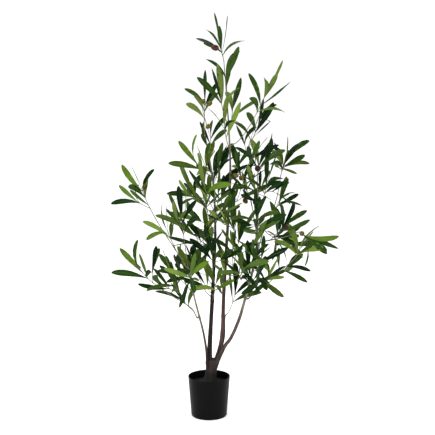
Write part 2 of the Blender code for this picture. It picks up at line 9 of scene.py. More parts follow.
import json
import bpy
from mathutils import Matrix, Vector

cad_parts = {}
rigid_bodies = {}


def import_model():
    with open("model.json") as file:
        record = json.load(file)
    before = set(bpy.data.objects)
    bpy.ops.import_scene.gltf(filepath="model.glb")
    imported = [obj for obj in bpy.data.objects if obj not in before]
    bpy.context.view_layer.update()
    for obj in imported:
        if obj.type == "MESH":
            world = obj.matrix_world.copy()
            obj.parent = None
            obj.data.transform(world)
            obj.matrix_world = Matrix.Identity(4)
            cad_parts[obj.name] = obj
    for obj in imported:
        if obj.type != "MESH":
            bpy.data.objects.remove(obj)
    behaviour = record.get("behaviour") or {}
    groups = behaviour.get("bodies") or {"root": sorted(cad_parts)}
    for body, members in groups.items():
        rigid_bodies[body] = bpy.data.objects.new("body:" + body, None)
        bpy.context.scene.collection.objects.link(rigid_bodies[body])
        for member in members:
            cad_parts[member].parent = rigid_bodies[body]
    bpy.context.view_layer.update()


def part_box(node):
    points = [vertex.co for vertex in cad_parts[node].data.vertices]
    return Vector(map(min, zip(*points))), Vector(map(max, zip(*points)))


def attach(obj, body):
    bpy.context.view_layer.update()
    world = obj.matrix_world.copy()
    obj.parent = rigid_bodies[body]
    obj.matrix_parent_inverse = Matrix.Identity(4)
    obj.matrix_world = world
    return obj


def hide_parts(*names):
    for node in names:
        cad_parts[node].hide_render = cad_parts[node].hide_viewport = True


bl_info = {
    "name": "Potted Olive Tree",
    "version": (1, 0, 0),
    "blender": (4, 5, 0),
    "location": "View3D > Sidebar > Olive Tree",
    "description": "Pot, cement, bark, twigs, leaves and fruit of an artificial olive tree",
    "category": "Add Mesh",
}

from collections import namedtuple
from functools import lru_cache
from math import cos, inf, pi, radians, sin

import bpy
import numpy as np
from bpy.props import FloatProperty, FloatVectorProperty, PointerProperty
from mathutils import Vector
from mathutils.bvhtree import BVHTree

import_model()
POT_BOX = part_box("pot")
FILL_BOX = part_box("fill")
TRUNK_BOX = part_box("trunk")

# How far the solids stay clear of what carries them, and the height where the stems start
GAP = 0.0003
FORK = TRUNK_BOX[1].z + GAP

# Trunk: height above the cement, half width and half depth, from its foot to the fork
TRUNK_SECTIONS = (
    (0.000, 0.0285, 0.0260),
    (0.007, 0.0225, 0.0205),
    (0.020, 0.0180, 0.0165),
    (0.042, 0.0175, 0.0160),
    (0.066, 0.0210, 0.0185),
)
TRUNK_FOOT_X = 0.001
TRUNK_LEAN = 0.011
TRUNK_SIDES = 16
# Ridges that run from the trunk's toes into the stems: their turn round the trunk and their strength
TRUNK_LOBES = ((pi, 1.0), (0.55, 1.0), (-0.95, 0.8), (2.1, 0.5))
# Heights above the cement, and the share of the radius by which the ridges stand out there
TRUNK_LOBE_RISE = ((0, 0.010, 0.025, 0.050, 0.071), (0.14, 0.10, 0.07, 0.10, 0.13))

# Each limb: the limb that carries it and the height where it leaves, its course, its radii and its sides
Limb = namedtuple("Limb", "name parent leaves_at course foot_radius tip_radius sides")
LIMBS = [Limb(*row) for row in (
    ("stem_left", None, None, (
        (0.001, 0.001, FORK), (0.003, 0.008, 0.235), (0.010, 0.025, 0.360), (0.019, 0.040, 0.560),
        (0.011, 0.050, 0.715), (-0.014, 0.060, 0.863)), 0.0075, 0.0012, 10),
    ("stem_middle", None, None, (
        (0.0205, 0.005, FORK), (0.0325, 0.004, 0.205), (0.0405, -0.001, 0.262), (0.0455, -0.008, 0.400),
        (0.060, -0.020, 0.660), (0.063, -0.020, 0.763), (0.056, -0.014, 0.910), (0.044, -0.005, 1.064)),
        0.0068, 0.0012, 10),
    ("stem_right", None, None, (
        (0.024, -0.013, FORK), (0.047, -0.018, 0.218), (0.066, -0.022, 0.246), (0.089, -0.030, 0.302),
        (0.107, -0.040, 0.368), (0.134, -0.050, 0.481), (0.143, -0.055, 0.610), (0.141, -0.050, 0.728)),
        0.0058, 0.0013, 10),
    ("stem_outer_left", None, None, (
        (-0.0050, -0.0105, FORK), (-0.0078, -0.0125, 0.204), (-0.0168, -0.0160, 0.260),
        (-0.0314, -0.0235, 0.322), (-0.0440, -0.0300, 0.375), (-0.0590, -0.0400, 0.455),
        (-0.0680, -0.0450, 0.516)), 0.0042, 0.0013, 8),
    ("bough_low_left", "stem_outer_left", 0.309, (
        (-0.053, -0.030, 0.339), (-0.094, -0.045, 0.369), (-0.134, -0.060, 0.399)), 0.0020, 0.0012, 6),
    ("bough_far_left", "stem_outer_left", 0.462, (
        (-0.082, -0.035, 0.490), (-0.128, -0.020, 0.557), (-0.152, -0.010, 0.594)), 0.0018, 0.0011, 6),
    ("bough_low_right", "stem_right", 0.371, (
        (0.133, -0.045, 0.386), (0.174, -0.050, 0.417), (0.215, -0.050, 0.457), (0.250, -0.050, 0.490)),
        0.0020, 0.0011, 6),
    ("bough_far_right", "stem_right", 0.538, (
        (0.166, -0.075, 0.547), (0.213, -0.100, 0.561), (0.257, -0.120, 0.580)), 0.0019, 0.0012, 6),
    ("bough_upper_right", "stem_right", 0.481, (
        (0.157, -0.020, 0.554), (0.185, 0.010, 0.609), (0.205, 0.030, 0.670), (0.215, 0.040, 0.727)),
        0.0022, 0.0012, 6),
)]

# The strand along a stem: how far it lies to the right and behind, the height over which it moves there and
# the share of the way where it starts, its share of the stem's radius, the height where it ends and the one
# over which it tapers off, and the share of its radius that is left at the end
STRAND_STEM = "stem_middle"
STRAND_BESIDE = (0.0064, 0.00256)
STRAND_PARTING = 0.075
STRAND_START = 0.3
STRAND_THIN = 0.66
STRAND_TOP = 0.315
STRAND_TAPER = 0.09
STRAND_END = 0.25

# The colours that bark turns into on its way up: the heights where that starts and ends, and the colour. The
# boughs inside the crown have theirs in common.
BARK_TURNS = {
    "trunk": ((TRUNK_BOX[0].z + 0.018, TRUNK_BOX[0].z + 0.052, "trunk"),),
    # The dark colour on the strand and the left stem is partly their own darker bark and partly painted shade
    "strand": ((0.180, 0.220, "dark"),),
    "twig": ((0.3, 0.7, "pale"),),
    "stem_left": ((0.165, 0.205, "dark"), (0.48, 0.60, "grey"), (0.62, 0.80, "pale")),
    "stem_middle": ((0.180, 0.240, "brown"), (0.45, 0.62, "grey"), (0.66, 0.85, "pale")),
    "stem_right": ((0.180, 0.230, "red"), (0.29, 0.37, "pale")),
    "stem_outer_left": ((0.190, 0.220, "brown"), (0.24, 0.34, "pale")),
    "bough_low_left": ((0.25, 0.28, "pale"),),
}
INNER_TURNS = ((0.24, 0.30, "grey"), (0.31, 0.45, "pale"))

# Each spray: its limb, the height where it leaves it (None: from the limb's tip), the end of its twig, its
# leaves, their usual length, the tone of its green, the seed that sets its leaves' chances, and its finer
# shoots, which only the looks have: more where the crown is thick, none where it is open
Spray = namedtuple("Spray", "name limb leaves_at end leaves leaf_length tone seed fine_shoots")
# A spray's tone is partly painted light and shade: darker tones paint shade in the crown, lighter ones light
# that shines through the leaves
SPRAYS = [Spray(*row) for row in (
    ("top", "stem_middle", None, (0.036, -0.005, 1.099), 6, 0.104, "dark", 6, 1),
    ("leader_high", "stem_middle", 0.955, (0.050, -0.025, 1.022), 4, 0.094, "mid", 10, 0),
    ("leader_left", "stem_middle", 0.883, (0.035, -0.045, 0.950), 4, 0.110, "light", 19, 0),
    ("leader_right", "stem_middle", 0.871, (0.070, 0.010, 0.925), 4, 0.100, "mid", 4, 0),
    ("leader_low", "stem_middle", 0.813, (0.045, -0.050, 0.875), 4, 0.110, "light", 18, 0),
    ("left_top", "stem_left", None, (-0.012, 0.060, 0.945), 6, 0.098, "mid", 12, 0),
    ("left_top_back", "stem_left", 0.781, (0.005, 0.085, 0.845), 5, 0.096, "dark", 7, 1),
    ("left_high_outer", "stem_left", 0.727, (-0.036, 0.010, 0.766), 8, 0.098, "light", 4, 1),
    ("inner_high", "stem_left", 0.679, (0.012, 0.085, 0.735), 10, 0.098, "dark", 9, 1),
    ("inner_mid", "stem_left", 0.588, (0.028, 0.000, 0.680), 8, 0.100, "dark", 10, 2),
    ("left_mid", "stem_left", 0.615, (-0.046, 0.060, 0.668), 8, 0.100, "light", 13, 2),
    ("outer_top", "stem_outer_left", None, (-0.078, -0.050, 0.605), 7, 0.104, "dark", 13, 1),
    ("far_left_tip", "bough_far_left", None, (-0.200, 0.010, 0.692), 9, 0.100, "mid", 18, 0),
    ("far_left_low", "bough_far_left", 0.515, (-0.120, -0.060, 0.575), 5, 0.096, "light", 14, 1),
    ("low_left_tip", "bough_low_left", None, (-0.198, -0.075, 0.460), 8, 0.100, "mid", 4, 0),
    ("low_left_mid", "bough_low_left", 0.356, (-0.105, -0.070, 0.432), 10, 0.100, "dark", 16, 0),
    ("low_left_under", "bough_low_left", 0.333, (-0.075, -0.005, 0.352), 6, 0.090, "mid", 17, 0),
    ("low_inner_left", "stem_left", 0.361, (-0.040, -0.030, 0.460), 8, 0.096, "mid", 18, 0),
    ("centre_dark", "stem_left", 0.423, (0.010, -0.060, 0.510), 12, 0.100, "dark", 19, 2),
    ("centre_light", "stem_left", 0.478, (-0.005, 0.070, 0.545), 7, 0.106, "light", 20, 1),
    ("centre_low", "stem_left", 0.350, (0.020, -0.080, 0.420), 8, 0.098, "mid", 48, 0),
    ("inner_left", "stem_left", 0.510, (-0.045, 0.000, 0.555), 8, 0.094, "mid", 21, 1),
    ("centre_right", "stem_middle", 0.414, (0.088, -0.070, 0.550), 14, 0.098, "light", 22, 5),
    ("centre_right_low", "stem_middle", 0.308, (0.080, 0.000, 0.380), 5, 0.110, "dark", 23, 0),
    ("right_low_upright", "stem_right", 0.388, (0.130, -0.090, 0.435), 8, 0.110, "dark", 24, 1),
    ("right_low_outer", "bough_low_right", 0.404, (0.165, -0.085, 0.432), 6, 0.096, "dark", 25, 1),
    ("far_right_low_tip", "bough_low_right", None, (0.262, -0.050, 0.510), 7, 0.100, "light", 14, 0),
    ("far_right_low_mid", "bough_low_right", 0.452, (0.235, 0.000, 0.460), 6, 0.096, "mid", 27, 1),
    ("far_right_tip", "bough_far_right", None, (0.272, -0.120, 0.570), 5, 0.106, "mid", 4, 0),
    ("far_right_inner", "bough_far_right", 0.551, (0.215, -0.060, 0.585), 7, 0.100, "dark", 29, 0),
    ("right_mid", "stem_right", 0.537, (0.135, -0.100, 0.610), 12, 0.100, "mid", 30, 4),
    ("right_top", "stem_right", None, (0.145, -0.050, 0.765), 8, 0.100, "dark", 31, 1),
    ("right_high_left", "stem_right", 0.649, (0.092, -0.010, 0.735), 7, 0.096, "dark", 32, 0),
    ("right_high_right", "stem_right", 0.634, (0.165, -0.110, 0.715), 8, 0.096, "dark", 33, 3),
    ("upper_right_tip", "bough_upper_right", None, (0.222, 0.030, 0.760), 10, 0.100, "dark", 15, 1),
    ("upper_right_mid", "bough_upper_right", 0.633, (0.215, 0.080, 0.640), 5, 0.096, "mid", 35, 1),
    ("high_right", "stem_middle", 0.819, (0.162, -0.060, 0.965), 7, 0.110, "light", 6, 0),
    ("high_right_back", "stem_middle", 0.746, (0.150, 0.050, 0.885), 8, 0.100, "dark", 37, 1),
    ("front_low", "stem_middle", 0.440, (0.102, -0.190, 0.490), 7, 0.100, "mid", 38, 0),
    ("back_low", "stem_left", 0.395, (-0.030, 0.200, 0.460), 9, 0.096, "dark", 39, 1),
    ("back_mid", "stem_left", 0.549, (-0.010, 0.220, 0.620), 9, 0.096, "mid", 40, 1),
    ("front_mid", "stem_middle", 0.586, (-0.005, -0.200, 0.700), 9, 0.096, "light", 41, 1),
    ("back_high", "stem_middle", 0.650, (0.115, 0.150, 0.670), 9, 0.096, "dark", 42, 1),
    ("front_high", "stem_middle", 0.725, (0.125, -0.150, 0.795), 6, 0.096, "dark", 43, 1),
    ("back_right", "bough_upper_right", 0.570, (0.215, 0.085, 0.535), 9, 0.096, "mid", 44, 1),
    ("front_left", "stem_outer_left", 0.440, (-0.050, -0.175, 0.465), 7, 0.096, "mid", 45, 0),
    ("back_left", "stem_outer_left", 0.380, (-0.095, 0.120, 0.430), 9, 0.096, "dark", 52, 0),
    ("front_right", "stem_right", 0.457, (0.145, -0.220, 0.520), 8, 0.096, "dark", 47, 1),
)]

# Each fruit: its spray, the share along the twig, the turn round the twig in degrees, its size and colour
FruitPlace = namedtuple("FruitPlace", "spray share turn size tone")
FRUIT_PLACES = [FruitPlace(*row) for row in (
    ("top", 0.97, 190, 1.20, "red"),
    ("left_top", 0.02, -30, 0.95, "ochre"),
    ("left_top", 0.96, -110, 0.95, "ochre"),
    ("left_top", 0.88, -30, 1.00, "ochre"),
    # The brown skin is the ochre fruit's colour in shade: painted shade
    ("far_left_tip", 0.93, -45, 1.05, "brown"),
    ("right_top", 0.55, -100, 1.20, "dark"),
    ("right_high_left", 0.94, 200, 0.95, "ochre"),
    ("right_high_left", 0.80, -100, 0.95, "ochre"),
    ("right_high_right", 0.25, 180, 1.15, "dark"),
    ("far_right_tip", 0.25, -90, 1.00, "ochre"),
    ("far_right_inner", 0.90, -60, 1.00, "dark"),
    ("back_mid", 0.70, 60, 1.05, "ochre"),
    ("back_high", 0.75, 60, 1.05, "red"),
    ("back_right", 0.75, 80, 1.00, "dark"),
)]

# Courses of limbs and twigs: the steps between their points, how much a twig turns up at its end, the handles
# of its curve as shares of its reach, and its radii and sides
LIMB_STEP = 0.045
TWIG_STEP = 0.050
TWIG_LIFT = 0.45
TWIG_HANDLES = (0.18, 0.35)
TWIG_FOOT_RADIUS = 0.0014
TWIG_TIP_RADIUS = 0.0009
TWIG_SIDES = 3

# Side shoots: how many leaves stay on the twig and how many a shoot has, where the first shoot leaves and how
# far on the next one does, as shares of the twig, the spread of their turn, their lean in degrees, their
# length and how far it varies, the sag of their middle, and how often a place is tried
TWIG_LEAVES = 5
SHOOT_LEAVES = 3
SHOOT_FROM = 0.42
SHOOT_STEP = 0.26
SHOOT_TURN = (-0.5, 0.5)
SHOOT_LEAN = (34, 48)
SHOOT_LENGTH = 0.050
SHOOT_LENGTHS = (0.85, 1.15)
SHOOT_SAG = 0.002
SHOOT_FOOT_RADIUS = TWIG_TIP_RADIUS * 1.2
TRIES = 6

# Finer shoots: where they leave, their lean in degrees, their length and how far it varies, their leaves'
# share of the usual length, and how far they may reach past their spray's solid
FINE_FROM = (0.25, 0.85)
FINE_LEAN = (40, 65)
FINE_LENGTH = 0.026
FINE_LENGTHS = (0.8, 1.3)
FINE_LEAF_SHARE = 0.72
REACH_MARGIN = 0.004
FINE_SEEDS = 1000

# Pairs of leaves: the way down the shoot and the turn from pair to pair, the shares of a shoot that carry
# them and that stay bare, and how far leaves lean in degrees: the one at the tip, the first pair, and what
# each pair down adds
PAIR_STEP = 0.022
PAIR_TURN = radians(74)
LEAFY_SHARE = 0.7
BARE_SHARE = 0.2
TIP_LEAN = 8
PAIR_LEAN = 24
PAIR_LEAN_STEP = 7

# Each leaf's chances: its size, its bend, the spread of its twist, turn and lean, what each further try adds
# to them, and where its upper side looks: to the front twice as often as to the back, and a little upwards
LEAF_SIZES = (0.78, 1.12)
LEAF_BENDS = (-0.4, 1.4)
LEAF_TWIST = 0.4
LEAF_TURN = 0.22
LEAF_SWAY = 0.12
LOOSER = 0.5
LEAF_LOOKS = (-0.5, -0.5, 0.5)
LEAF_LOOK_SPREAD = 0.75
LEAF_UP = 0.5

# Plain leaves that test a place: shares of the length and of the width there, the width and the thickness as
# shares of the length, how deep the foot sits in its twig, and what leaves keep clear
LEAF_SECTIONS = np.array(((0.30, 0.66, 0.90), (0.55, 1.0, 0.76)))
LEAF_WIDTH = 0.18
LEAF_THICKNESS = 0.022
LEAF_SUNK = 0.0006
CLEARANCE = 0.0005

# Fruit: its size, the length and lean of its stalk, and how many half lengths past that its middle lies
FRUIT_RADIUS = 0.0074
FRUIT_HALF_LENGTH = 0.0100
FRUIT_STALK = 0.009
FRUIT_LEAN = radians(65)
FRUIT_PAST_STALK = 0.85

# The tones of the leaves, each with the record's slot, and how often a leaf of a spray takes each of them
# The spread of the tones is partly the leaves' own tones and partly painted light and shade: the deep and
# dark tones paint shade in the crown, and the light ones paint light that shines through the leaves
TONES = {
    "deep": "leaf_dark", "dark": "leaf_dark", "mid": "leaf_mid", "olive": "leaf_mid", "light": "leaf_light",
}
TONE_SHARES = {
    "dark": (0.34, 0.44, 0.14, 0.05, 0.03),
    "mid": (0.12, 0.28, 0.36, 0.14, 0.10),
    "light": (0.05, 0.15, 0.22, 0.22, 0.36),
}
TONE_SEEDS = 2000

UPRIGHT = np.array((0.0, 0.0, 1.0))


# Courses and noise

def unit(vector):
    """The vector at length one."""
    return vector / np.linalg.norm(vector)


def full_turn(count):
    """So many angles, evenly spaced round a full turn."""
    return np.arange(count) * 2 * pi / count


def square_to(ahead):
    """The direction square to ahead that is nearest to +X, or to +Y where ahead runs along X."""
    side = np.array((1.0, 0.0, 0.0) if abs(ahead[0]) < 0.8 else (0.0, 1.0, 0.0))
    return unit(side - ahead * (side @ ahead))


def round_from(ahead, turn):
    """The direction square to ahead at a turn round it."""
    side = square_to(ahead)
    return cos(turn) * side + sin(turn) * np.cross(ahead, side)


def leaning(ahead, lean, turn):
    """The direction that leans away from ahead, at a turn round it."""
    return unit(cos(lean) * ahead + sin(lean) * round_from(ahead, turn))


def between(at, places, rows):
    """The values of the rows, which belong to rising places, at other places."""
    return np.stack([np.interp(at, places, column) for column in rows.T], axis=-1)


def smooth_course(points, step):
    """A Catmull-Rom curve through the points, read about every step."""
    points = np.array(points, float)
    padded = np.vstack((2 * points[0] - points[1], points, 2 * points[-1] - points[-2]))
    course = []
    for a, b, c, d in zip(padded, padded[1:], padded[2:], padded[3:]):
        t = np.linspace(0, 1, max(1, round(np.linalg.norm(c - b) / step)), endpoint=False)[:, None]
        bent = 2 * b + (c - a) * t + (2 * a - 5 * b + 4 * c - d) * t**2 + (3 * b - a - 3 * c + d) * t**3
        course.append(bent / 2)
    return np.vstack(course + [points[-1:]])


def arched_course(start, outward, end):
    """A Bezier curve that leaves along outward and reaches the end while turning up."""
    reach = np.linalg.norm(end - start)
    arrival = unit(unit(end - start) + UPRIGHT * TWIG_LIFT)
    near, far = TWIG_HANDLES
    handles = (start, start + outward * reach * near, end - arrival * reach * far, end)
    t = np.linspace(0, 1, max(4, round(reach / TWIG_STEP) + 2))[:, None]
    weights = ((1 - t) ** 3, 3 * (1 - t) ** 2 * t, 3 * (1 - t) * t**2, t**3)
    return sum(weight * handle for weight, handle in zip(weights, handles))


def directions(course, first=None):
    """The unit direction at each point of a course."""
    along = np.gradient(course, axis=0)
    if first is not None:
        along[0] = first
    return along / np.linalg.norm(along, axis=1)[:, None]


def runs(course):
    """How far along the course each of its points lies."""
    return np.append(0, np.cumsum(np.linalg.norm(np.diff(course, axis=0), axis=1)))


# The number of cells after which the noise repeats
NOISE_CELLS = 16


def noise(points, size, seed):
    """Smooth noise from -1 to 1: random values on a lattice of cells of that size, eased between them."""
    table = np.random.default_rng(seed).uniform(-1, 1, (NOISE_CELLS,) * 3)
    cell = points / size
    low = np.floor(cell).astype(int)
    share = cell - low
    share = share * share * (3 - 2 * share)
    total = 0.0
    for corner in np.ndindex(2, 2, 2):
        weight = np.prod(np.where(corner, share, 1 - share), axis=-1)
        i, j, k = np.moveaxis((low + corner) % NOISE_CELLS, -1, 0)
        total = total + weight * table[i, j, k]
    return total


def layered(points, layers, seed=0):
    """A sum of noises, each with its cells, its own seed and its strength."""
    return sum(noise(points, size, seed + own) * strength for size, own, strength in layers)


# Closed surfaces

Skin = namedtuple("Skin", "corners quads fans quad_finish fan_finish")


def skin(rings, start, end, finish=0):
    """Closed shapes of rings: quads from ring to ring, and triangles from the end rings to a point each.

    The rings are an array of copies, rings and corners, the two ends hold a point for each copy, and finish
    is the number of each quad's material, by ring and corner.
    """
    copies, count, around = rings.shape[:3]
    corners = np.concatenate((rings.reshape(copies, -1, 3), start[:, None], end[:, None]), axis=1)
    here = np.arange(around)
    after = (here + 1) % around
    row = (np.arange(count - 1) * around)[:, None]
    quads = np.stack((row + here, row + after, row + after + around, row + here + around), axis=-1)
    last = (count - 1) * around
    foot = np.stack((np.full(around, count * around), after, here), axis=-1)
    tip = np.stack((np.full(around, count * around + 1), last + here, last + after), axis=-1)
    shift = np.arange(copies)[:, None, None] * corners.shape[1]
    finish = np.broadcast_to(finish, (count - 1, around))
    return Skin(
        corners.reshape(-1, 3),
        (quads.reshape(-1, 4) + shift).reshape(-1, 4),
        (np.concatenate((foot, tip)) + shift).reshape(-1, 3),
        np.tile(finish.ravel(), copies),
        np.tile(np.concatenate((finish[0], finish[-1])), copies))


def joined(skins):
    """Several skins as one."""
    shifts = np.cumsum([0] + [len(one.corners) for one in skins[:-1]])
    moved = [
        one._replace(quads=one.quads + shift, fans=one.fans + shift) for one, shift in zip(skins, shifts)]
    return Skin(*(np.concatenate(parts) for parts in zip(*moved)))


def pipe(course, widths, around, first=None, depths=None):
    """Rings along a course: middle + w cos t across + d sin t (ahead x across), t from 0 to a full turn.

    The half widths w are one for each ring, or one for each ring and corner. The half depths d are the same
    unless given. Across is carried from ring to ring without a twist.
    """
    along = directions(course, first)
    across = [square_to(along[0])]
    for ahead in along[1:]:
        across.append(unit(across[-1] - ahead * (across[-1] @ ahead)))
    across = np.array(across)
    turn = full_turn(around)
    widths = np.reshape(widths, (len(course), -1))
    depths = widths if depths is None else np.reshape(depths, (len(course), -1))
    wide = (widths * np.cos(turn))[..., None] * across[:, None]
    deep = (depths * np.sin(turn))[..., None] * np.cross(along, across)[:, None]
    return course[:, None] + wide + deep


def tube(course, radii, around, first=None, finish=0):
    """A pipe that is closed at both ends."""
    return skin(pipe(course, radii, around, first)[None], course[:1], course[-1:], finish)


# A direction that no egg lies along, from which its first corner is found
EGG_AWAY = (0.3, 0.5, 0.8)


def egg(centre, way, radius, half_length, around, count, bulge=0.0, foot=1.0, tip=1.0):
    """Rings between two poles: middle - way x h cos a, radius r sin a (1 + bulge cos a), a from 0 to pi."""
    side = unit(np.cross(way, EGG_AWAY))
    other = np.cross(way, side)
    lift = pi * np.arange(1, count) / count
    turn = full_turn(around)
    middle = centre - np.outer(np.cos(lift), way) * half_length
    wide = radius * np.sin(lift) * (1 + bulge * np.cos(lift))
    ring = np.cos(turn)[:, None] * side + np.sin(turn)[:, None] * other
    rings = middle[:, None] + wide[:, None, None] * ring
    start = centre - way * half_length * foot
    end = centre + way * half_length * tip
    return skin(rings[None], start[None], end[None])


def leaf_lines(root, ahead, inward, length, bend, roll, twist, shares):
    """The middle line of leaves that bend away from their twig along an arc, with its frame.

    At a share s of the length the line has turned by bend x s away from inward, and the blade is turned round
    it by roll + twist x s. Every value may be one leaf's, or hold a leaf for each entry of its first axes.
    """
    bent = bend * shares
    path = np.sinc(bent / pi) * ahead - np.sin(bent / 2) * np.sinc(bent / 2 / pi) * inward
    middle = root + length * shares * path
    forward = np.cos(bent) * ahead - np.sin(bent) * inward
    flat_up = np.cos(bent) * inward + np.sin(bent) * ahead
    flat_side = np.cross(forward, flat_up)
    rolled = roll + twist * shares
    up = np.cos(rolled) * flat_up + np.sin(rolled) * flat_side
    side = np.cos(rolled) * flat_side - np.sin(rolled) * flat_up
    return middle, forward, up, side


def plain_leaf(leaf, margin=0.0, blade_only=False):
    """A leaf of few faces, flat above and keeled below, thickened by a margin, with or without its foot."""
    shares = np.concatenate(([0.0], LEAF_SECTIONS[0], [1.0]))[:, None]
    middle, forward, up, side = leaf_lines(*leaf[1:], shares)
    foot = (middle[1] if blade_only else middle[0]) - forward[0] * margin
    tip = middle[-1] + forward[-1] * margin
    middle, up, side = middle[1:-1], up[1:-1], side[1:-1]
    half = leaf.length * LEAF_WIDTH / 2 * LEAF_SECTIONS[1][:, None] + margin
    thick = leaf.length * LEAF_THICKNESS + margin
    rings = np.stack((
        middle - side * half + up * margin, middle + side * half + up * margin, middle - up * thick), axis=1)
    return skin(rings[None], foot[None], tip[None])


def add_piece(name, shape, finishes, replaced, sharp_degrees=60):
    """A mesh from a skin, with its materials, that rides on the tree's one body and replaces those nodes."""
    loops = np.concatenate((shape.quads.ravel(), shape.fans.ravel()))
    fan_starts = shape.quads.size + np.arange(len(shape.fans)) * 3
    starts = np.concatenate((np.arange(len(shape.quads)) * 4, fan_starts))
    mesh = bpy.data.meshes.new(name)
    mesh.vertices.add(len(shape.corners))
    mesh.vertices.foreach_set("co", shape.corners.astype(np.float32).ravel())
    mesh.loops.add(len(loops))
    mesh.loops.foreach_set("vertex_index", loops.astype(np.int32))
    mesh.polygons.add(len(starts))
    mesh.polygons.foreach_set("loop_start", starts.astype(np.int32))
    for finish in finishes:
        mesh.materials.append(finish)
    face_finish = np.concatenate((shape.quad_finish, shape.fan_finish))
    mesh.polygons.foreach_set("material_index", face_finish.astype(np.int32))
    mesh.update(calc_edges=True)
    mesh.shade_smooth()
    mesh.set_sharp_from_angle(angle=radians(sharp_degrees))
    obj = bpy.data.objects.new(name, mesh)
    bpy.context.scene.collection.objects.link(obj)
    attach(obj, "root")
    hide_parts(*replaced)


# The rule by which the tree grows

Leaf = namedtuple("Leaf", "spray root ahead inward length bend roll twist")
Fruit = namedtuple("Fruit", "spray tone centre way radius half_length stalk")
Plant = namedtuple("Plant", "limbs shoots leaves fruit")


def measured(shape):
    """The middle of a skin, its reach from there, and its triangles as a tree that finds crossings."""
    middle = shape.corners.mean(axis=0)
    reach = np.linalg.norm(shape.corners - middle, axis=1).max()
    triangles = np.concatenate((shape.quads[:, :3], shape.quads[:, (0, 2, 3)], shape.fans))
    return middle, reach, BVHTree.FromPolygons(shape.corners.tolist(), triangles.tolist())


class Space:
    """The space that limbs, twigs, leaves and fruit have taken, and by which of them."""

    def __init__(self):
        self.taken = []

    def claim(self, owner, shape):
        """Take the space of a skin."""
        self.taken.append((owner, *measured(shape)))

    def is_clear(self, shape, beside=None, among=None):
        """Whether a skin crosses nothing but what it is beside, or nothing of the one owner it is among."""
        middle, reach, tree = measured(shape)
        for owner, other_middle, other_reach, other_tree in self.taken:
            if owner == beside or (among and owner != among):
                continue
            if np.linalg.norm(middle - other_middle) > reach + other_reach:
                continue
            if tree.overlap(other_tree):
                return False
        return True


class GrownLimb:
    """A limb's course with its radius, so that other limbs and sprays can leave it."""

    def __init__(self, points, first, limb):
        self.points = points
        self.first = first
        self.course = smooth_course(points, LIMB_STEP)
        self.radii = np.linspace(limb.foot_radius, limb.tip_radius, len(self.course))
        self.along = directions(self.course)
        self.nodes = []

    def leave(self, height, towards):
        """The point a gap clear of the limb at a height, on the side that faces towards, and its way out."""
        heights = self.course[:, 2]
        axis_point = between(height, heights, self.course)
        ahead = unit(between(height, heights, self.along))
        gap = np.array(towards) - axis_point
        outward = unit(gap - ahead * (gap @ ahead))
        self.nodes.append(height)
        return axis_point + outward * (np.interp(height, heights, self.radii) + GAP), outward

    def tip(self):
        """The point a gap past the limb's end, and its direction there."""
        return self.course[-1] + self.along[-1] * GAP, self.along[-1]


class Shoot:
    """A twig: its course, its radius along it and the leaves that it carries."""

    def __init__(self, course, first, foot_radius, leaves):
        self.course = course
        self.first = first
        self.along = directions(course, first)
        self.lengths = runs(course)
        self.leaves = leaves
        self.radii = np.linspace(foot_radius, TWIG_TIP_RADIUS, len(course))
        self.shape = tube(course, self.radii, TWIG_SIDES, first)
        self.nodes = []

    def at(self, share):
        """The point and direction at a share of the shoot's length."""
        run = share * self.lengths[-1]
        return between(run, self.lengths, self.course), unit(between(run, self.lengths, self.along))

    def mark(self, share):
        """Note that something leaves the shoot at a share of its length."""
        self.nodes.append(share * self.lengths[-1])


def grow_trunk(space):
    """Take the space of the trunk, as the solids have it."""
    rise, widths, depths = np.array(TRUNK_SECTIONS).T
    course = np.column_stack((
        TRUNK_FOOT_X + TRUNK_LEAN * rise / rise[-1], np.zeros(len(rise)), TRUNK_BOX[0].z + rise))
    rings = pipe(course, widths, TRUNK_SIDES, UPRIGHT, depths)
    rings[..., 2] = course[:, 2:]
    space.claim("trunk", skin(rings[None], course[:1], course[-1:]))


def grow_limb(limb, grown, space):
    """One tapering limb, from the fork or a gap clear of the limb that carries it."""
    points = [np.array(point) for point in limb.course]
    first = UPRIGHT
    if limb.parent:
        start, first = grown[limb.parent].leave(limb.leaves_at, points[0])
        points = [start, start + first * 2 * limb.foot_radius] + points
    made = GrownLimb(points, first, limb)
    grown[limb.name] = made
    space.claim(limb.name, tube(made.course, made.radii, limb.sides, first))


def grow_twig(spray, grown, space):
    """The spray's own twig, which arches from its limb to the spray's end, and its number of side shoots."""
    limb = grown[spray.limb]
    start, outward = limb.tip() if spray.leaves_at is None else limb.leave(spray.leaves_at, spray.end)
    course = arched_course(start, outward, np.array(spray.end))
    side_shoots = max(0, (spray.leaves - TWIG_LEAVES) // SHOOT_LEAVES)
    twig = Shoot(course, outward, TWIG_FOOT_RADIUS, spray.leaves - side_shoots * SHOOT_LEAVES)
    space.claim(spray.name, twig.shape)
    return twig, side_shoots


def grow_side_shoots(name, twig, count, dice, space):
    """Side shoots that fork from the twig on alternate sides, each where its way is clear."""
    shoots = []
    base_turn = dice.uniform(0, 2 * pi)
    for k in range(count):
        share = SHOOT_FROM + SHOOT_STEP * k
        start, ahead = twig.at(share)
        for attempt in range(TRIES):
            turn = base_turn + pi * k + dice.uniform(*SHOOT_TURN) * (1 + attempt)
            way = leaning(ahead, radians(dice.uniform(*SHOOT_LEAN)), turn)
            end = start + way * SHOOT_LENGTH * dice.uniform(*SHOOT_LENGTHS)
            course = np.linspace(start, end, 3)
            course[1, 2] -= SHOOT_SAG
            shoot = Shoot(course, way, SHOOT_FOOT_RADIUS, SHOOT_LEAVES)
            if space.is_clear(shoot.shape, beside=name):
                space.claim(name, shoot.shape)
                twig.mark(share)
                shoots.append(shoot)
                break
    return shoots


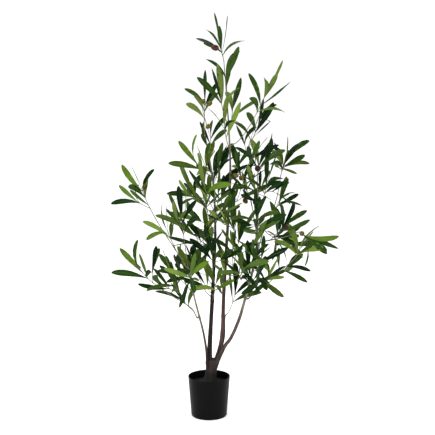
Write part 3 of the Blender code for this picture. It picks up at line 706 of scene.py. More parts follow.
def grow_fruit(name, twig, space):
    """The spray's fruit, each on a short stalk at its place along the twig."""
    fruit = []
    for place in FRUIT_PLACES:
        if place.spray == name:
            start, ahead = twig.at(place.share)
            way = leaning(ahead, FRUIT_LEAN, radians(place.turn))
            end = start + way * FRUIT_STALK
            half = FRUIT_HALF_LENGTH * place.size
            radius = FRUIT_RADIUS * place.size
            middle = end + way * half * FRUIT_PAST_STALK
            space.claim(name, egg(middle, way, radius, half, around=6, count=4))
            fruit.append(Fruit(name, place.tone, middle, way, radius, half, (start, end)))
    return fruit


def grow_leaves(name, shoot, length, dice, space, reach=None):
    """Leaves down a shoot: one carries it on, the rest sit in pairs, each pair turned on from the last.

    A leaf is skipped where it would touch a limb, another spray or the blade of a leaf beside it, or would
    leave the reach given. Each try is looser than the last.
    """
    leaves = []
    step = min(PAIR_STEP / shoot.lengths[-1], LEAFY_SHARE / (shoot.leaves / 2))
    base_turn = dice.uniform(0, pi)
    for k in range(shoot.leaves):
        pair = (k - 1) // 2
        share = 1.0 if k == 0 else max(BARE_SHARE, 1 - step * (pair + 0.5))
        usual_lean = radians(TIP_LEAN if k == 0 else PAIR_LEAN + PAIR_LEAN_STEP * pair)
        root, ahead = shoot.at(share)
        for attempt in range(TRIES):
            loose = 1 + LOOSER * attempt
            turn = base_turn + pair * PAIR_TURN + pi * (k % 2) + dice.normal(0, LEAF_TURN) * loose
            lean = usual_lean + dice.normal(0, LEAF_SWAY) * loose
            around = round_from(ahead, turn)
            way = unit(cos(lean) * ahead + sin(lean) * around)
            inward = unit(sin(lean) * ahead - cos(lean) * around)
            look = dice.choice(LEAF_LOOKS) * pi + dice.normal(0, LEAF_LOOK_SPREAD)
            facing = np.array((cos(look), sin(look), LEAF_UP))
            roll = np.arctan2(facing @ np.cross(way, inward), facing @ inward)
            size = length * dice.uniform(*LEAF_SIZES)
            bend = dice.uniform(*LEAF_BENDS)
            twist = dice.normal(0, LEAF_TWIST)
            leaf = Leaf(name, root - way * LEAF_SUNK, way, inward, size, bend, roll, twist)
            wide = plain_leaf(leaf, CLEARANCE)
            if reach and (np.any(wide.corners < reach[0]) or np.any(wide.corners > reach[1])):
                continue
            blade = plain_leaf(leaf, CLEARANCE, blade_only=True)
            if space.is_clear(wide, beside=name) and space.is_clear(blade, among=name):
                space.claim(name, plain_leaf(leaf))
                shoot.mark(share)
                leaves.append(leaf)
                break
    return leaves


def grow_fine_shoot(name, carrier, length, dice, space, reach):
    """A short shoot with a few smaller leaves, which the solids leave out, inside the spray's own reach."""
    for _ in range(TRIES):
        share = dice.uniform(*FINE_FROM)
        start, ahead = carrier.at(share)
        way = leaning(ahead, radians(dice.uniform(*FINE_LEAN)), dice.uniform(0, 2 * pi))
        end = start + way * FINE_LENGTH * dice.uniform(*FINE_LENGTHS)
        shoot = Shoot(np.linspace(start, end, 3), way, TWIG_TIP_RADIUS, SHOOT_LEAVES)
        if space.is_clear(shoot.shape, beside=name):
            leaves = grow_leaves(name, shoot, length * FINE_LEAF_SHARE, dice, space, reach)
            if leaves:
                space.claim(name, shoot.shape)
                carrier.mark(share)
                return [shoot], leaves
    return [], []


@lru_cache(maxsize=1)
def grow():
    """The whole plant: limbs, then twigs, fruit, each spray's side shoots and leaves, then finer shoots."""
    space = Space()
    grow_trunk(space)
    grown = {}
    for limb in LIMBS:
        grow_limb(limb, grown, space)
    twigs = {spray.name: grow_twig(spray, grown, space) for spray in SPRAYS}
    fruit = []
    for spray in SPRAYS:
        fruit += grow_fruit(spray.name, twigs[spray.name][0], space)
    shoots = {}
    leaves = []
    for spray in SPRAYS:
        dice = np.random.default_rng(spray.seed)
        twig, side_shoots = twigs[spray.name]
        shoots[spray.name] = [twig] + grow_side_shoots(spray.name, twig, side_shoots, dice, space)
        for shoot in shoots[spray.name]:
            leaves += grow_leaves(spray.name, shoot, spray.leaf_length, dice, space)
    for spray in SPRAYS:
        dice = np.random.default_rng(FINE_SEEDS + spray.seed)
        low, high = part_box("spray_" + spray.name)
        reach = (np.array(low) - REACH_MARGIN, np.array(high) + REACH_MARGIN)
        carriers = list(shoots[spray.name])
        for k in range(spray.fine_shoots):
            carrier = carriers[k % len(carriers)]
            fine, fine_leaves = grow_fine_shoot(spray.name, carrier, spray.leaf_length, dice, space, reach)
            shoots[spray.name] += fine
            leaves += fine_leaves
    return Plant(grown, sum(shoots.values(), []), leaves, fruit)


# Finishes

class Value:
    """What a node gives out. Arithmetic on it adds Math nodes."""

    def __init__(self, finish, socket):
        self.finish = finish
        self.socket = socket

    def math(self, operation, first, second):
        """A Math node on two values or numbers."""
        return self.finish.node("ShaderNodeMath", {"operation": operation}, {0: first, 1: second})

    def __add__(self, other):
        return self.math("ADD", self, other)

    def __radd__(self, other):
        return self.math("ADD", other, self)

    def __sub__(self, other):
        return self.math("SUBTRACT", self, other)

    def __rsub__(self, other):
        return self.math("SUBTRACT", other, self)

    def __mul__(self, other):
        return self.math("MULTIPLY", self, other)

    def __rmul__(self, other):
        return self.math("MULTIPLY", other, self)


def rgba(colour):
    """A colour with its alpha, or a node's value as it is."""
    return colour if isinstance(colour, Value) else (*colour, 1.0)


def tinted(colour, factor):
    """A colour made darker or paler."""
    return tuple(min(1.0, channel * factor) for channel in colour)


class Finish:
    """A material: its Principled shader, whose own sockets hold what is the same all over the surface."""

    def __init__(self, name, gloss):
        self.material = bpy.data.materials.new(name)
        self.material.use_nodes = True
        self.tree = self.material.node_tree
        self.shader = self.tree.nodes["Principled BSDF"]
        self.shader.inputs["Specular IOR Level"].default_value = gloss

    def feed(self, socket, value):
        """Give a socket a number or colour, or link a value to it."""
        if isinstance(value, Value):
            self.tree.links.new(value.socket, socket)
        else:
            socket.default_value = value

    def node(self, kind, settings=None, inputs=None, output=0):
        """What a new node gives out, once it has its settings and then the values or links of its sockets."""
        made = self.tree.nodes.new(kind)
        for name, value in (settings or {}).items():
            setattr(made, name, value)
        for name, value in (inputs or {}).items():
            self.feed(made.inputs[name], value)
        return Value(self, made.outputs[output])

    def place(self):
        """The place on the object, in metres."""
        return self.node("ShaderNodeTexCoord", output="Object")

    def height(self):
        """The height on the object, in metres."""
        return self.node("ShaderNodeSeparateXYZ", inputs={"Vector": self.place()}, output="Z")

    def noise(self, lumps, detail=3.0, stretch=(1.0, 1.0, 1.0)):
        """Noise of 0 to 1 with so many lumps a metre along each axis, times its stretch."""
        placed = self.node("ShaderNodeMapping", inputs={"Vector": self.place(), "Scale": stretch})
        return self.node(
            "ShaderNodeTexNoise", inputs={"Vector": placed, "Scale": lumps, "Detail": detail})

    def ease(self, value, low, high):
        """0 where the value is low, 1 where it is high, and eased between them."""
        return self.node(
            "ShaderNodeMapRange", {"interpolation_type": "SMOOTHSTEP"},
            {"Value": value, "From Min": low, "From Max": high})

    def mix(self, share, low, high, way="MIX"):
        """A colour that goes from low to high by share, or is low blended with high in another way."""
        return self.node(
            "ShaderNodeMix", {"data_type": "RGBA", "blend_type": way},
            {0: share, 6: rgba(low), 7: rgba(high)}, 2)

    def dress(self, colour, roughness, height, distance):
        """Link what varies over the surface: its colour, its roughness and the height that makes its bump."""
        self.feed(self.shader.inputs["Base Color"], rgba(colour))
        self.feed(self.shader.inputs["Roughness"], roughness)
        bump = self.node("ShaderNodeBump", inputs={"Height": height, "Distance": distance}, output="Normal")
        self.feed(self.shader.inputs["Normal"], bump)
        return self.material


def black_plastic(pot):
    """Matt black moulded plastic: fine grain, softly uneven gloss, and pale scuffs at rim and foot."""
    finish = Finish("black_plastic", 0.06)
    height = finish.height()
    rim = POT_BOX[1].z
    near_edge = finish.ease(height, rim - 0.008, rim) + finish.ease(height, 0.010, 0.0)
    scuffs = finish.ease(finish.noise(220, 5, (1.0, 1.0, 0.3)), 0.60, 0.78) * (near_edge * 0.8 + 0.08)
    clouds = finish.noise(16, 4)
    dusty = finish.mix(scuffs, pot.colour, pot.scuff_colour)
    roughness = clouds * 0.16 + (pot.roughness - 0.08) + scuffs * 0.2
    return finish.dress(dusty, roughness, finish.noise(1400, 2) + clouds * 0.4, 0.00012)


def dark_cement(cement):
    """Dark cement with grit, greyer and mossy round the trunk."""
    finish = Finish("dark_cement", 0.15)
    grit = finish.noise(420, 6)
    lumps = finish.noise(90, 4)
    middle = finish.node("ShaderNodeVectorMath", {"operation": "LENGTH"}, {0: finish.place()}, "Value")
    top = FILL_BOX[1].z
    near_trunk = finish.ease(middle + (lumps - 0.5) * 0.008, top + 0.009, top + 0.0045)
    colour = finish.mix(near_trunk, cement.colour, cement.foot_colour)
    darker = finish.mix(1.0, colour, (0.5, 0.5, 0.5), "MULTIPLY")
    colour = finish.mix(finish.ease(grit, 0.35, 0.75), darker, colour)
    return finish.dress(colour, 0.95 - grit * 0.15, grit + lumps * 1.5, 0.0008)


def bark(settings, name, first, turns):
    """Moulded bark: a colour that turns into others on its way up, with darker streaks along the grain."""
    finish = Finish(name, 0.12)
    streaks = finish.noise(150, 5, (1.0, 1.0, 0.10))
    patches = finish.noise(32, 4)
    fine = finish.noise(900, 3, (1.0, 1.0, 0.35))
    uneven_height = finish.height() + (patches - 0.5) * 0.06
    colour = getattr(settings, first + "_colour")
    for low, high, following in turns:
        share = finish.ease(uneven_height, low, high)
        colour = finish.mix(share, colour, getattr(settings, following + "_colour"))
    shaded = finish.mix(1.0, colour, (0.52, 0.48, 0.46), "MULTIPLY")
    colour = finish.mix(finish.ease(streaks, 0.34, 0.58), shaded, colour)
    paler = finish.mix(finish.ease(patches, 0.40, 0.80), (0.9, 0.9, 0.9), (1.0, 1.0, 1.0))
    colour = finish.mix(1.0, colour, paler, "MULTIPLY")
    return finish.dress(colour, 0.66 + fine * 0.22, streaks + fine * 0.35, 0.0011)


def leaf_side(name, colour, roughness, gloss, patchy):
    """One side of the leaves: a plain colour, a little uneven from place to place, with a faint grain."""
    finish = Finish(name, gloss)
    patches = finish.noise(34, 3)
    fine = finish.noise(520, 3)
    mottled = finish.mix(finish.ease(patches, 0.30, 0.66), tinted(colour, 1 - patchy), colour)
    return finish.dress(mottled, roughness + (fine - 0.5) * 0.12, fine, 0.00018)


def fruit_skin(name, colour):
    """Satin fruit skin, blushed darker in patches, with pale specks."""
    finish = Finish(name, 0.15)
    patches = finish.noise(150, 3)
    specks = finish.ease(finish.noise(1500, 2), 0.66, 0.74)
    blushed = finish.mix(finish.ease(patches, 0.38, 0.62), tinted(colour, 0.45), colour)
    speckled = finish.mix(specks * 0.7, blushed, tinted(colour, 2.2))
    return finish.dress(speckled, 0.42 + patches * 0.12, finish.noise(700, 3), 0.0002)


# Pot and cement

# The pot: the corners of a ring, the recess of its underside, the foot ring's inner edge and its slope, the
# way from the rounded foot to the wall's first ring, and the angle in degrees from which an edge is sharp
POT_ROUND = 128
POT_RECESS = 0.0008
POT_RING = 0.0145
POT_RING_SLOPE = 0.0015
POT_WALL_START = 0.002
POT_SHARP = 35

# The cement: the corners of a ring, its taper, the depth of its shoulder and the steps in and up it, the edge
# and the inner end of its top and the rings between, and the reach and slope of the mound
CEMENT_ROUND = 120
CEMENT_TAPER = 0.006
SHOULDER_DEPTH = 0.004
SHOULDER_STEP = (0.0004, 0.001)
CEMENT_EDGE = 0.0022
CEMENT_INNER = 0.003
CEMENT_RINGS = 44
MOUND_REACH = 0.040
MOUND_SLOPE = 0.020
# Its lumps: the cells, seed and height of each noise, how far all of it sinks, and the depth where that fades
CEMENT_LUMPS = ((0.011, 5, 0.0009), (0.0042, 6, 0.0006))
CEMENT_SINK = 0.0006
LUMP_FADE = 0.002


def turned(profile, around, lump=None):
    """A profile of r and h, pole to pole, spun round Z: x = r cos t, y = r sin t, z = h, plus a lump."""
    profile = np.array(profile)
    turn = full_turn(around)
    radius = profile[1:-1, 0, None]
    height = np.broadcast_to(profile[1:-1, 1, None], (len(radius), around))
    rings = np.stack((radius * np.cos(turn), radius * np.sin(turn), height), axis=-1)
    if lump is not None:
        rings[..., 2] += lump(rings)
    poles = np.column_stack((np.zeros(2), np.zeros(2), profile[[0, -1], 1]))
    return skin(rings[None], poles[:1], poles[1:])


def arc(across, height, radius, turns, count):
    """Points of an arc: centre + radius x (cos a, sin a), a from the first turn to the second in degrees."""
    a = np.radians(np.linspace(*turns, count))
    return list(zip(across + radius * np.cos(a), height + radius * np.sin(a)))


def make_pot(pot):
    """The open pot: flat underside with a small foot ring, rounded foot, flaring wall and soft rolled rim."""
    height = POT_BOX[1].z
    rim = POT_BOX[1].x

    def wall_radius(at):
        """The outer radius at a height: straight from the foot to the rim."""
        return pot.foot_radius + (rim - pot.foot_radius) * at / height

    lip = pot.wall / 2
    lip_foot = height - lip * 2
    foot_top = pot.floor + pot.foot_round
    inner_foot = wall_radius(pot.floor) - pot.wall
    ring = pot.foot_radius - POT_RING
    profile = [(0, POT_RECESS), (ring - POT_RING_SLOPE, POT_RECESS), (ring, 0.0)]
    profile += arc(pot.foot_radius - pot.foot_round, pot.foot_round, pot.foot_round, (-90, 0), 8)
    profile += [(wall_radius(at), at) for at in np.linspace(pot.foot_round + POT_WALL_START, lip_foot, 24)]
    profile += arc(wall_radius(height) - lip, height - lip, lip, (0, 180), 10)
    profile += [(wall_radius(at) - pot.wall, at) for at in np.linspace(lip_foot, foot_top, 16)]
    profile += arc(inner_foot - pot.foot_round, foot_top, pot.foot_round, (0, -90), 6)
    profile += [(0, pot.floor)]
    shell = turned(profile, POT_ROUND)
    add_piece("pot_shell", shell, [black_plastic(pot)], ["pot"], POT_SHARP)


def make_cement(cement):
    """The cement: a turned plug whose top is z = top + mound x eased nearness to the trunk + noise."""
    bottom = FILL_BOX[0].z
    top = FILL_BOX[1].z
    edge = FILL_BOX[1].x
    foot = edge - CEMENT_TAPER
    inward, upward = SHOULDER_STEP

    def lump(rings):
        """How much higher the top lies than flat, and nothing at the sides and below."""
        radius = np.hypot(rings[..., 0] - TRUNK_FOOT_X, rings[..., 1])
        near = np.clip((MOUND_REACH - radius) / MOUND_SLOPE, 0, 1)
        rise = cement.mound * near * near * (3 - 2 * near)
        on_top = np.clip((rings[..., 2] - top + LUMP_FADE) / LUMP_FADE, 0, 1)
        return (rise + layered(rings, CEMENT_LUMPS) - CEMENT_SINK) * on_top

    profile = [(0, bottom), (foot * 0.5, bottom), (foot, bottom)]
    profile += [(edge - inward * (k + 1), top - SHOULDER_DEPTH + upward * k) for k in range(3)]
    profile += [(radius, top) for radius in np.linspace(edge - CEMENT_EDGE, CEMENT_INNER, CEMENT_RINGS)]
    profile += [(0, top + cement.mound)]
    add_piece("cement", turned(profile, CEMENT_ROUND, lump), [dark_cement(cement)], ["fill"])


# Trunk, stems and boughs

# The step between rings and their corners
TRUNK_RING_STEP = 0.0011
TRUNK_ROUND = 96
LIMB_RING_STEP = 0.0035
LIMB_ROUND = 20

# Grain: a coarse and a fine noise, each with its cells, seed and strength, and the share of the radius for
# each metre of relief. A limb's radius also swells and shrinks along it.
TRUNK_GRAIN = (((0.0065, 0.0065, 0.045), 11, 0.9), ((0.0026, 0.0026, 0.020), 12, 0.5))
TRUNK_RELIEF = 55
LIMB_GRAIN = (((0.0045, 0.0045, 0.035), 0, 1.0), ((0.002, 0.002, 0.012), 20, 0.6))
LIMB_RELIEF = 70
LIMB_SWELL = ((0.045, 40, 0.07),)

# Trunk: its depth in the cement and how much wider it is there, the dome among the stems with the first and
# last angle and the number of its rings, the share of its radius that is plain, and how sharp its ridges are
# and how far they turn
TRUNK_SUNK = 0.005
SUNK_WIDER = 0.001
DOME_HEIGHT = 0.010
DOME_RINGS = (10, 82, 8)
TRUNK_CORE = 0.95
LOBE_SHARPNESS = 7
LOBE_SWIRL = 0.5

# Limbs: the flare of stems and boughs, which fades over so many foot radii, the swelling at a node, and the
# rings hidden in what carries them. Boughs start so many foot radii deep, and stems at a depth below the
# fork, drawn together to a share of their spread round a share of the trunk's lean.
STEM_FLARE = 0.22
BOUGH_FLARE = 0.75
FLARE_RUN = 2.6
NODE_SWELL = 0.0006
NODE_REACH = 0.005
HIDDEN_RINGS = 6
BOUGH_SUNK = 1.6
STEM_SUNK = 0.030
STEM_SPREAD = 0.35
STEM_LEAN = 0.6
LIMB_SEEDS = 60
STRAND_SEED = 75


def trunk_skin(settings):
    """The trunk: x = middle + w k cos t, y = d k sin t, where w and d are smooth through its sections.

    k is 0.95, plus lobes that run up into the stems and spread into toes at the foot, plus noise drawn out
    along the grain. A dome closes it among the stems.
    """
    sections = smooth_course(TRUNK_SECTIONS, TRUNK_RING_STEP)
    top = sections[-1]
    over = np.radians(np.linspace(*DOME_RINGS))
    dome = np.column_stack((top[0] + DOME_HEIGHT * np.sin(over), np.outer(np.cos(over), top[1:])))
    sunk = sections[:1] + np.array(((-TRUNK_SUNK, SUNK_WIDER, SUNK_WIDER),))
    rise, wide, deep = np.vstack((sunk, sections, dome)).T
    middle = TRUNK_FOOT_X + TRUNK_LEAN * rise / top[0]
    rise_grid, turn_grid = np.meshgrid(rise, full_turn(TRUNK_ROUND), indexing="ij")
    swirl = LOBE_SWIRL * (1 - rise_grid / top[0])
    strength = np.interp(rise, *TRUNK_LOBE_RISE)[:, None]
    lobes = sum(
        size * np.exp(LOBE_SHARPNESS * (np.cos(turn_grid - at - swirl) - 1)) for at, size in TRUNK_LOBES)
    ring = np.stack((np.cos(turn_grid), np.sin(turn_grid)), axis=-1)
    flat = np.concatenate((ring * wide[:, None, None], rise_grid[..., None]), axis=-1)
    grain = layered(flat, TRUNK_GRAIN)
    k = TRUNK_CORE + strength * lobes + grain * settings.relief * TRUNK_RELIEF
    rings = np.stack((
        middle[:, None] + wide[:, None] * k * ring[..., 0], deep[:, None] * k * ring[..., 1],
        TRUNK_BOX[0].z + rise_grid), axis=-1)
    ends = np.column_stack((middle, np.zeros(len(rise)), TRUNK_BOX[0].z + rise))
    return skin(rings[None], ends[:1], ends[-1:])


def limb_skin(grown, limb, settings, seed, beside=(0.0, 0.0), thin=1.0, top=inf):
    """A limb's bark: a pipe whose radius tapers, flares where it leaves, swells at nodes and has a grain.

    Radius = taper x (1 + flare e^(-run / flare's run)) + swell e^(-(rise to a node / its reach)^2), times 1
    plus noise drawn out along the limb. It starts inside what carries it. A strand lies beside the limb,
    thinner than it, and tapers off to a top.
    """
    course = smooth_course(grown.points, LIMB_RING_STEP)
    course[:, :2] += np.clip((course[:, 2:] - FORK) / STRAND_PARTING, STRAND_START, 1) * beside
    course = course[course[:, 2] < top]
    radii = np.interp(course[:, 2], grown.course[:, 2], grown.radii) * thin
    radii = radii * np.clip((top - course[:, 2]) / STRAND_TAPER, STRAND_END, 1)
    if limb.parent:
        inside = course[0] - grown.first * limb.foot_radius * BOUGH_SUNK
        flare = BOUGH_FLARE
    else:
        axis = np.array((TRUNK_FOOT_X + TRUNK_LEAN * STEM_LEAN, 0.0, FORK - STEM_SUNK))
        inside = axis + STEM_SPREAD * (course[0] - axis) * (1, 1, 0)
        flare = STEM_FLARE
    hidden = np.linspace(inside, course[0], HIDDEN_RINGS + 1)[:-1]
    course = np.vstack((hidden, course))
    radii = np.concatenate((np.full(len(hidden), radii[0]), radii))
    run = np.maximum(runs(course) - runs(course)[len(hidden)], 0)
    radii = radii * (1 + flare * np.exp(-run / (FLARE_RUN * limb.foot_radius)))
    for height in grown.nodes:
        radii = radii + NODE_SWELL * np.exp(-((course[:, 2] - height) / NODE_REACH) ** 2)
    smooth = pipe(course, radii, LIMB_ROUND)
    grain = layered(smooth, LIMB_GRAIN, seed)
    swell = layered(course, LIMB_SWELL, seed)[:, None]
    uneven = 1 + grain * settings.relief * LIMB_RELIEF + swell
    return tube(course, radii[:, None] * uneven, LIMB_ROUND)


def make_bark(settings):
    """The trunk, the stems and the boughs, each in the colours that it has low down and high up."""
    limbs = grow().limbs
    trunk_bark = bark(settings, "bark_trunk", "foot", BARK_TURNS["trunk"])
    add_piece("bark_trunk", trunk_skin(settings), [trunk_bark], ["trunk"])
    for number, limb in enumerate(LIMBS):
        finish = bark(settings, "bark_" + limb.name, "trunk", BARK_TURNS.get(limb.name, INNER_TURNS))
        shape = limb_skin(limbs[limb.name], limb, settings, LIMB_SEEDS + number)
        add_piece("bark_" + limb.name, shape, [finish], [limb.name])
        if limb.name == STRAND_STEM:
            strand = limb_skin(
                limbs[limb.name], limb, settings, STRAND_SEED, STRAND_BESIDE, STRAND_THIN, STRAND_TOP)
            finish = bark(settings, "bark_strand", "trunk", BARK_TURNS["strand"])
            add_piece("bark_strand", strand, [finish], [limb.name])


# Twigs

# The step between rings and their corners, how often a course is softened, the swelling at a node and its
# reach, how deep a twig starts, how far its end is drawn out and how thick it is at both, the share of it
# that is brown, and how deep a fruit's stalk ends and the radii along it
TWIG_RING_STEP = 0.0045
TWIG_ROUND = 7
TWIG_SOFTENED = 3
TWIG_NODE_SWELL = 0.00035
TWIG_NODE_REACH = 0.0022
TWIG_SUNK = 0.0016
TWIG_POINT = 0.0012
TWIG_ENDS = (1.5, 0.5)
BROWN_SHARE = 0.33
STALK_SUNK = 0.0008
STALK_RADII = (0.0009, 0.0007, 0.0006, 0.0008, 0.0016)


def twig_skin(shoot):
    """A twig: a pipe along its softened course, sunk into what carries it, that swells at each node.

    Radius = taper + swell e^(-(run to the nearest node / its reach)^2). The first third of a spray's own twig
    takes the brown material, the rest the green one.
    """
    at = np.linspace(0, shoot.lengths[-1], max(5, round(shoot.lengths[-1] / TWIG_RING_STEP)))
    course = between(at, shoot.lengths, shoot.course)
    for _ in range(TWIG_SOFTENED):
        course[1:-1] = course[:-2] * 0.25 + course[1:-1] * 0.5 + course[2:] * 0.25
    to_node = np.abs(at[:, None] - np.array(shoot.nodes)).min(axis=1, initial=1.0)
    radii = np.interp(at, shoot.lengths, shoot.radii)
    radii = radii + TWIG_NODE_SWELL * np.exp(-((to_node / TWIG_NODE_REACH) ** 2))
    course = np.vstack((
        course[0] - shoot.first * TWIG_SUNK, course, course[-1] + shoot.along[-1] * TWIG_POINT))
    radii = np.concatenate((radii[:1] * TWIG_ENDS[0], radii, radii[-1:] * TWIG_ENDS[1]))
    brown = (np.linspace(0, 1, len(course) - 1) < BROWN_SHARE) & (shoot.radii[0] >= TWIG_FOOT_RADIUS)
    return tube(course, radii, TWIG_ROUND, shoot.first, np.where(brown, 0, 1)[:, None])


def stalk_skin(fruit):
    """A fruit's stalk: a thin pipe that widens into the fruit."""
    start, end = fruit.stalk
    course = np.linspace(start, end + fruit.way * STALK_SUNK, len(STALK_RADII))
    return tube(course, STALK_RADII, TWIG_ROUND, finish=1)


def make_twigs(settings):
    """Every twig, side shoot and fruit stalk, joined."""
    plant = grow()
    skins = [twig_skin(shoot) for shoot in plant.shoots] + [stalk_skin(one) for one in plant.fruit]
    finishes = [
        bark(settings, "twig_brown", "grey", BARK_TURNS["twig"]),
        leaf_side("twig_green", settings.twig_colour, 0.6, 0.25, 0.3),
    ]
    add_piece("twigs", joined(skins), finishes, ["spray_" + spray.name for spray in SPRAYS])


# Leaves

# The stations along a leaf, and each ring's corners: how far across, how far down the fold and how thick
LEAF_STATIONS = np.array((0.03, 0.16, 0.32, 0.49, 0.66, 0.82, 0.93, 0.985))
RING_ACROSS = np.array((1.0, 0.09, -0.09, -1.0, -0.09, 0.09))
RING_FOLD = np.array((0.0, 1.0, 1.0, 0.0, 1.0, 1.0))
RING_THICK = np.array((0.0, -1.0, -1.0, 0.0, 0.35, 0.35))
# The material of each strip between the corners: 0 above, 1 rib above, 2 below, 3 rib below
RING_FINISH = np.array((2, 3, 2, 0, 1, 0))
# Half the width of the stalk, the waves of the edges, how far a leaf's twist shifts them, and their height as
# a share of the length
STALK_HALF_WIDTH = 0.0008
LEAF_WAVES = 1.6
LEAF_WAVE_SHIFT = 40
LEAF_WAVE_HEIGHT = 0.006
# The rib's colour as shares of both sides' colours, and the gloss of the dark leaves against the others'
RIB_SHARES = (0.55, 0.45)
DARK_GLOSS = 1.3


def leaf_skins(leaves, settings):
    """Leaves as one skin: six corners a ring, two at the edges and two each side of the midrib.

    Half width = length x width / 2 x sin(pi s^1.8)^0.55 at a share s of the length, over a narrow stalk. The
    edges lie in the blade's plane and wave a little, and the midrib lies lower by the fold.
    """
    _, *columns = (np.array(column) for column in zip(*leaves))
    root, ahead, inward = (column[:, None] for column in columns[:3])
    length, bend, roll, twist = (column[:, None, None] for column in columns[3:])
    shares = np.concatenate(([0.0], LEAF_STATIONS, [1.0]))[None, :, None]
    middle, _, up, side = leaf_lines(root, ahead, inward, length, bend, roll, twist, shares)
    s = shares[:, 1:-1]
    outline = np.sin(pi * s**1.8) ** 0.55
    half = np.maximum(length * settings.width / 2 * outline, STALK_HALF_WIDTH)
    wave = LEAF_WAVE_HEIGHT * length * np.sin(2 * pi * LEAF_WAVES * s + LEAF_WAVE_SHIFT * twist) * outline
    fold = -settings.fold * length * outline
    across = half * RING_ACROSS
    lift = fold * RING_FOLD + settings.thickness * RING_THICK + wave * (1 - RING_FOLD) * np.sign(RING_ACROSS)
    rings = (
        middle[:, 1:-1, None] + across[..., None] * side[:, 1:-1, None] + lift[..., None] * up[:, 1:-1, None])
    return skin(rings, middle[:, 0], middle[:, -1], RING_FINISH)


def make_leaves(settings):
    """The leaves, joined by tone, each spray's dealt out by its own shares of the tones."""
    shares = {spray.name: TONE_SHARES[spray.tone] for spray in SPRAYS}
    dealers = {spray.name: np.random.default_rng(TONE_SEEDS + spray.seed) for spray in SPRAYS}
    names = list(TONES)
    by_tone = {name: [] for name in names}
    for leaf in grow().leaves:
        dealt = dealers[leaf.spray].choice(len(names), p=shares[leaf.spray])
        by_tone[names[dealt]].append(leaf)
    for name, leaves in by_tone.items():
        above = getattr(settings, name + "_above")
        below = getattr(settings, name + "_below")
        rib = [RIB_SHARES[0] * over + RIB_SHARES[1] * under for over, under in zip(above, below)]
        gloss = settings.gloss * (DARK_GLOSS if TONES[name] == "leaf_dark" else 1.0)
        finishes = [
            leaf_side(name + "_above", above, settings.roughness, gloss, 0.25),
            leaf_side(name + "_rib_above", rib, settings.roughness, gloss, 0.10),
            # The paler lower sides are partly the leaves' own paler undersides and partly painted light that
            # shines through the leaves
            leaf_side(name + "_below", below, 0.8, 0.04, 0.18),
            leaf_side(name + "_rib_below", tinted(below, 1.15), 0.8, 0.04, 0.10),
        ]
        replaced = sorted({"spray_" + leaf.spray for leaf in leaves})
        add_piece("leaves_" + name, leaf_skins(leaves, settings), finishes, replaced)


# Fruit

# Corners and rings of each, how much fuller it is towards the stalk, and how far its ends stand out
FRUIT_SHAPE = {"around": 16, "count": 12, "bulge": 0.10, "foot": 0.94, "tip": 1.05}


def make_fruit(settings):
    """The fruit, joined by colour: eggs that are a little fuller towards the stalk and end in a small tip."""
    for tone in ("red", "ochre", "brown", "dark"):
        fruit = [one for one in grow().fruit if one.tone == tone]
        skins = [egg(one.centre, one.way, one.radius, one.half_length, **FRUIT_SHAPE) for one in fruit]
        finish = fruit_skin("fruit_" + tone, getattr(settings, tone))
        replaced = sorted({"spray_" + one.spray for one in fruit})
        add_piece("fruit_" + tone, joined(skins), [finish], replaced)


# Stage

FLOOR_HALF = 20.0
# The lights: the place and width of each, and the middle of the crown, where they point
LIGHTS = {"key": ((-1.9, -2.3, 2.4), 1.3), "fill": ((2.3, -1.9, 1.2), 1.6), "top": ((0.3, 0.9, 3.0), 1.4)}
CROWN_MIDDLE = Vector((0.03, 0.0, 0.62))


def add_light(name, place, width, power):
    """A soft square light whose -Z axis points at the middle of the crown."""
    data = bpy.data.lights.new(name, "AREA")
    data.shape = "SQUARE"
    data.size = width
    data.energy = power
    light = bpy.data.objects.new(name, data)
    light.location = place
    light.rotation_euler = (CROWN_MIDDLE - light.location).to_track_quat("-Z", "Y").to_euler()
    bpy.context.scene.collection.objects.link(light)


def make_stage(stage):
    """A pale floor, a white surround, soft lights, and the camera that looks down a little from the front."""
    scene = bpy.context.scene
    corners = [(x * FLOOR_HALF, y * FLOOR_HALF, 0) for x, y in ((-1, -1), (1, -1), (1, 1), (-1, 1))]
    mesh = bpy.data.meshes.new("floor")
    mesh.from_pydata(corners, [], [(0, 1, 2, 3)])
    floor = bpy.data.objects.new("floor", mesh)
    scene.collection.objects.link(floor)
    finish = Finish("pale_floor", 0.0)
    shade = finish.mix(finish.noise(3, 2), tinted(stage.floor_colour, 0.98), stage.floor_colour)
    finish.shader.inputs["Emission Color"].default_value = (1.0, 1.0, 1.0, 1.0)
    finish.shader.inputs["Emission Strength"].default_value = stage.floor_glow
    mesh.materials.append(finish.dress(shade, 0.9, finish.noise(60, 2), 0.0001))
    world = bpy.data.worlds.new("studio")
    world.use_nodes = True
    background = world.node_tree.nodes["Background"]
    background.inputs["Color"].default_value = (1.0, 1.0, 1.0, 1.0)
    background.inputs["Strength"].default_value = stage.surround
    scene.world = world
    for name, (place, width) in LIGHTS.items():
        add_light(name, place, width, getattr(stage, name + "_power"))
    data = bpy.data.cameras.new("camera")
    data.sensor_width = 36.0
    data.lens = stage.lens
    camera = bpy.data.objects.new("camera", data)
    camera.location = (stage.camera_x, -stage.camera_distance, stage.camera_height)
    camera.rotation_euler = (pi / 2 - stage.camera_dip, 0.0, 0.0)
    scene.collection.objects.link(camera)
    scene.camera = camera
    scene.view_settings.view_transform = "Standard"


# Settings that a user would change

def length_setting(name, description, default):
    """A length in metres."""
    return FloatProperty(name=name, description=description, default=default, unit="LENGTH", precision=4)


def colour_setting(name, description, default):
    """A base colour."""
    return FloatVectorProperty(
        name=name, description=description, default=default, subtype="COLOR", size=3, min=0.0, max=1.0)


def share_setting(name, description, default):
    """A number from 0 to 1."""
    return FloatProperty(
        name=name, description=description, default=default, subtype="FACTOR", min=0.0, max=1.0)


def power_setting(name, description, default):
    """A light's power in watts."""
    return FloatProperty(name=name, description=description, default=default, unit="POWER", min=0.0)


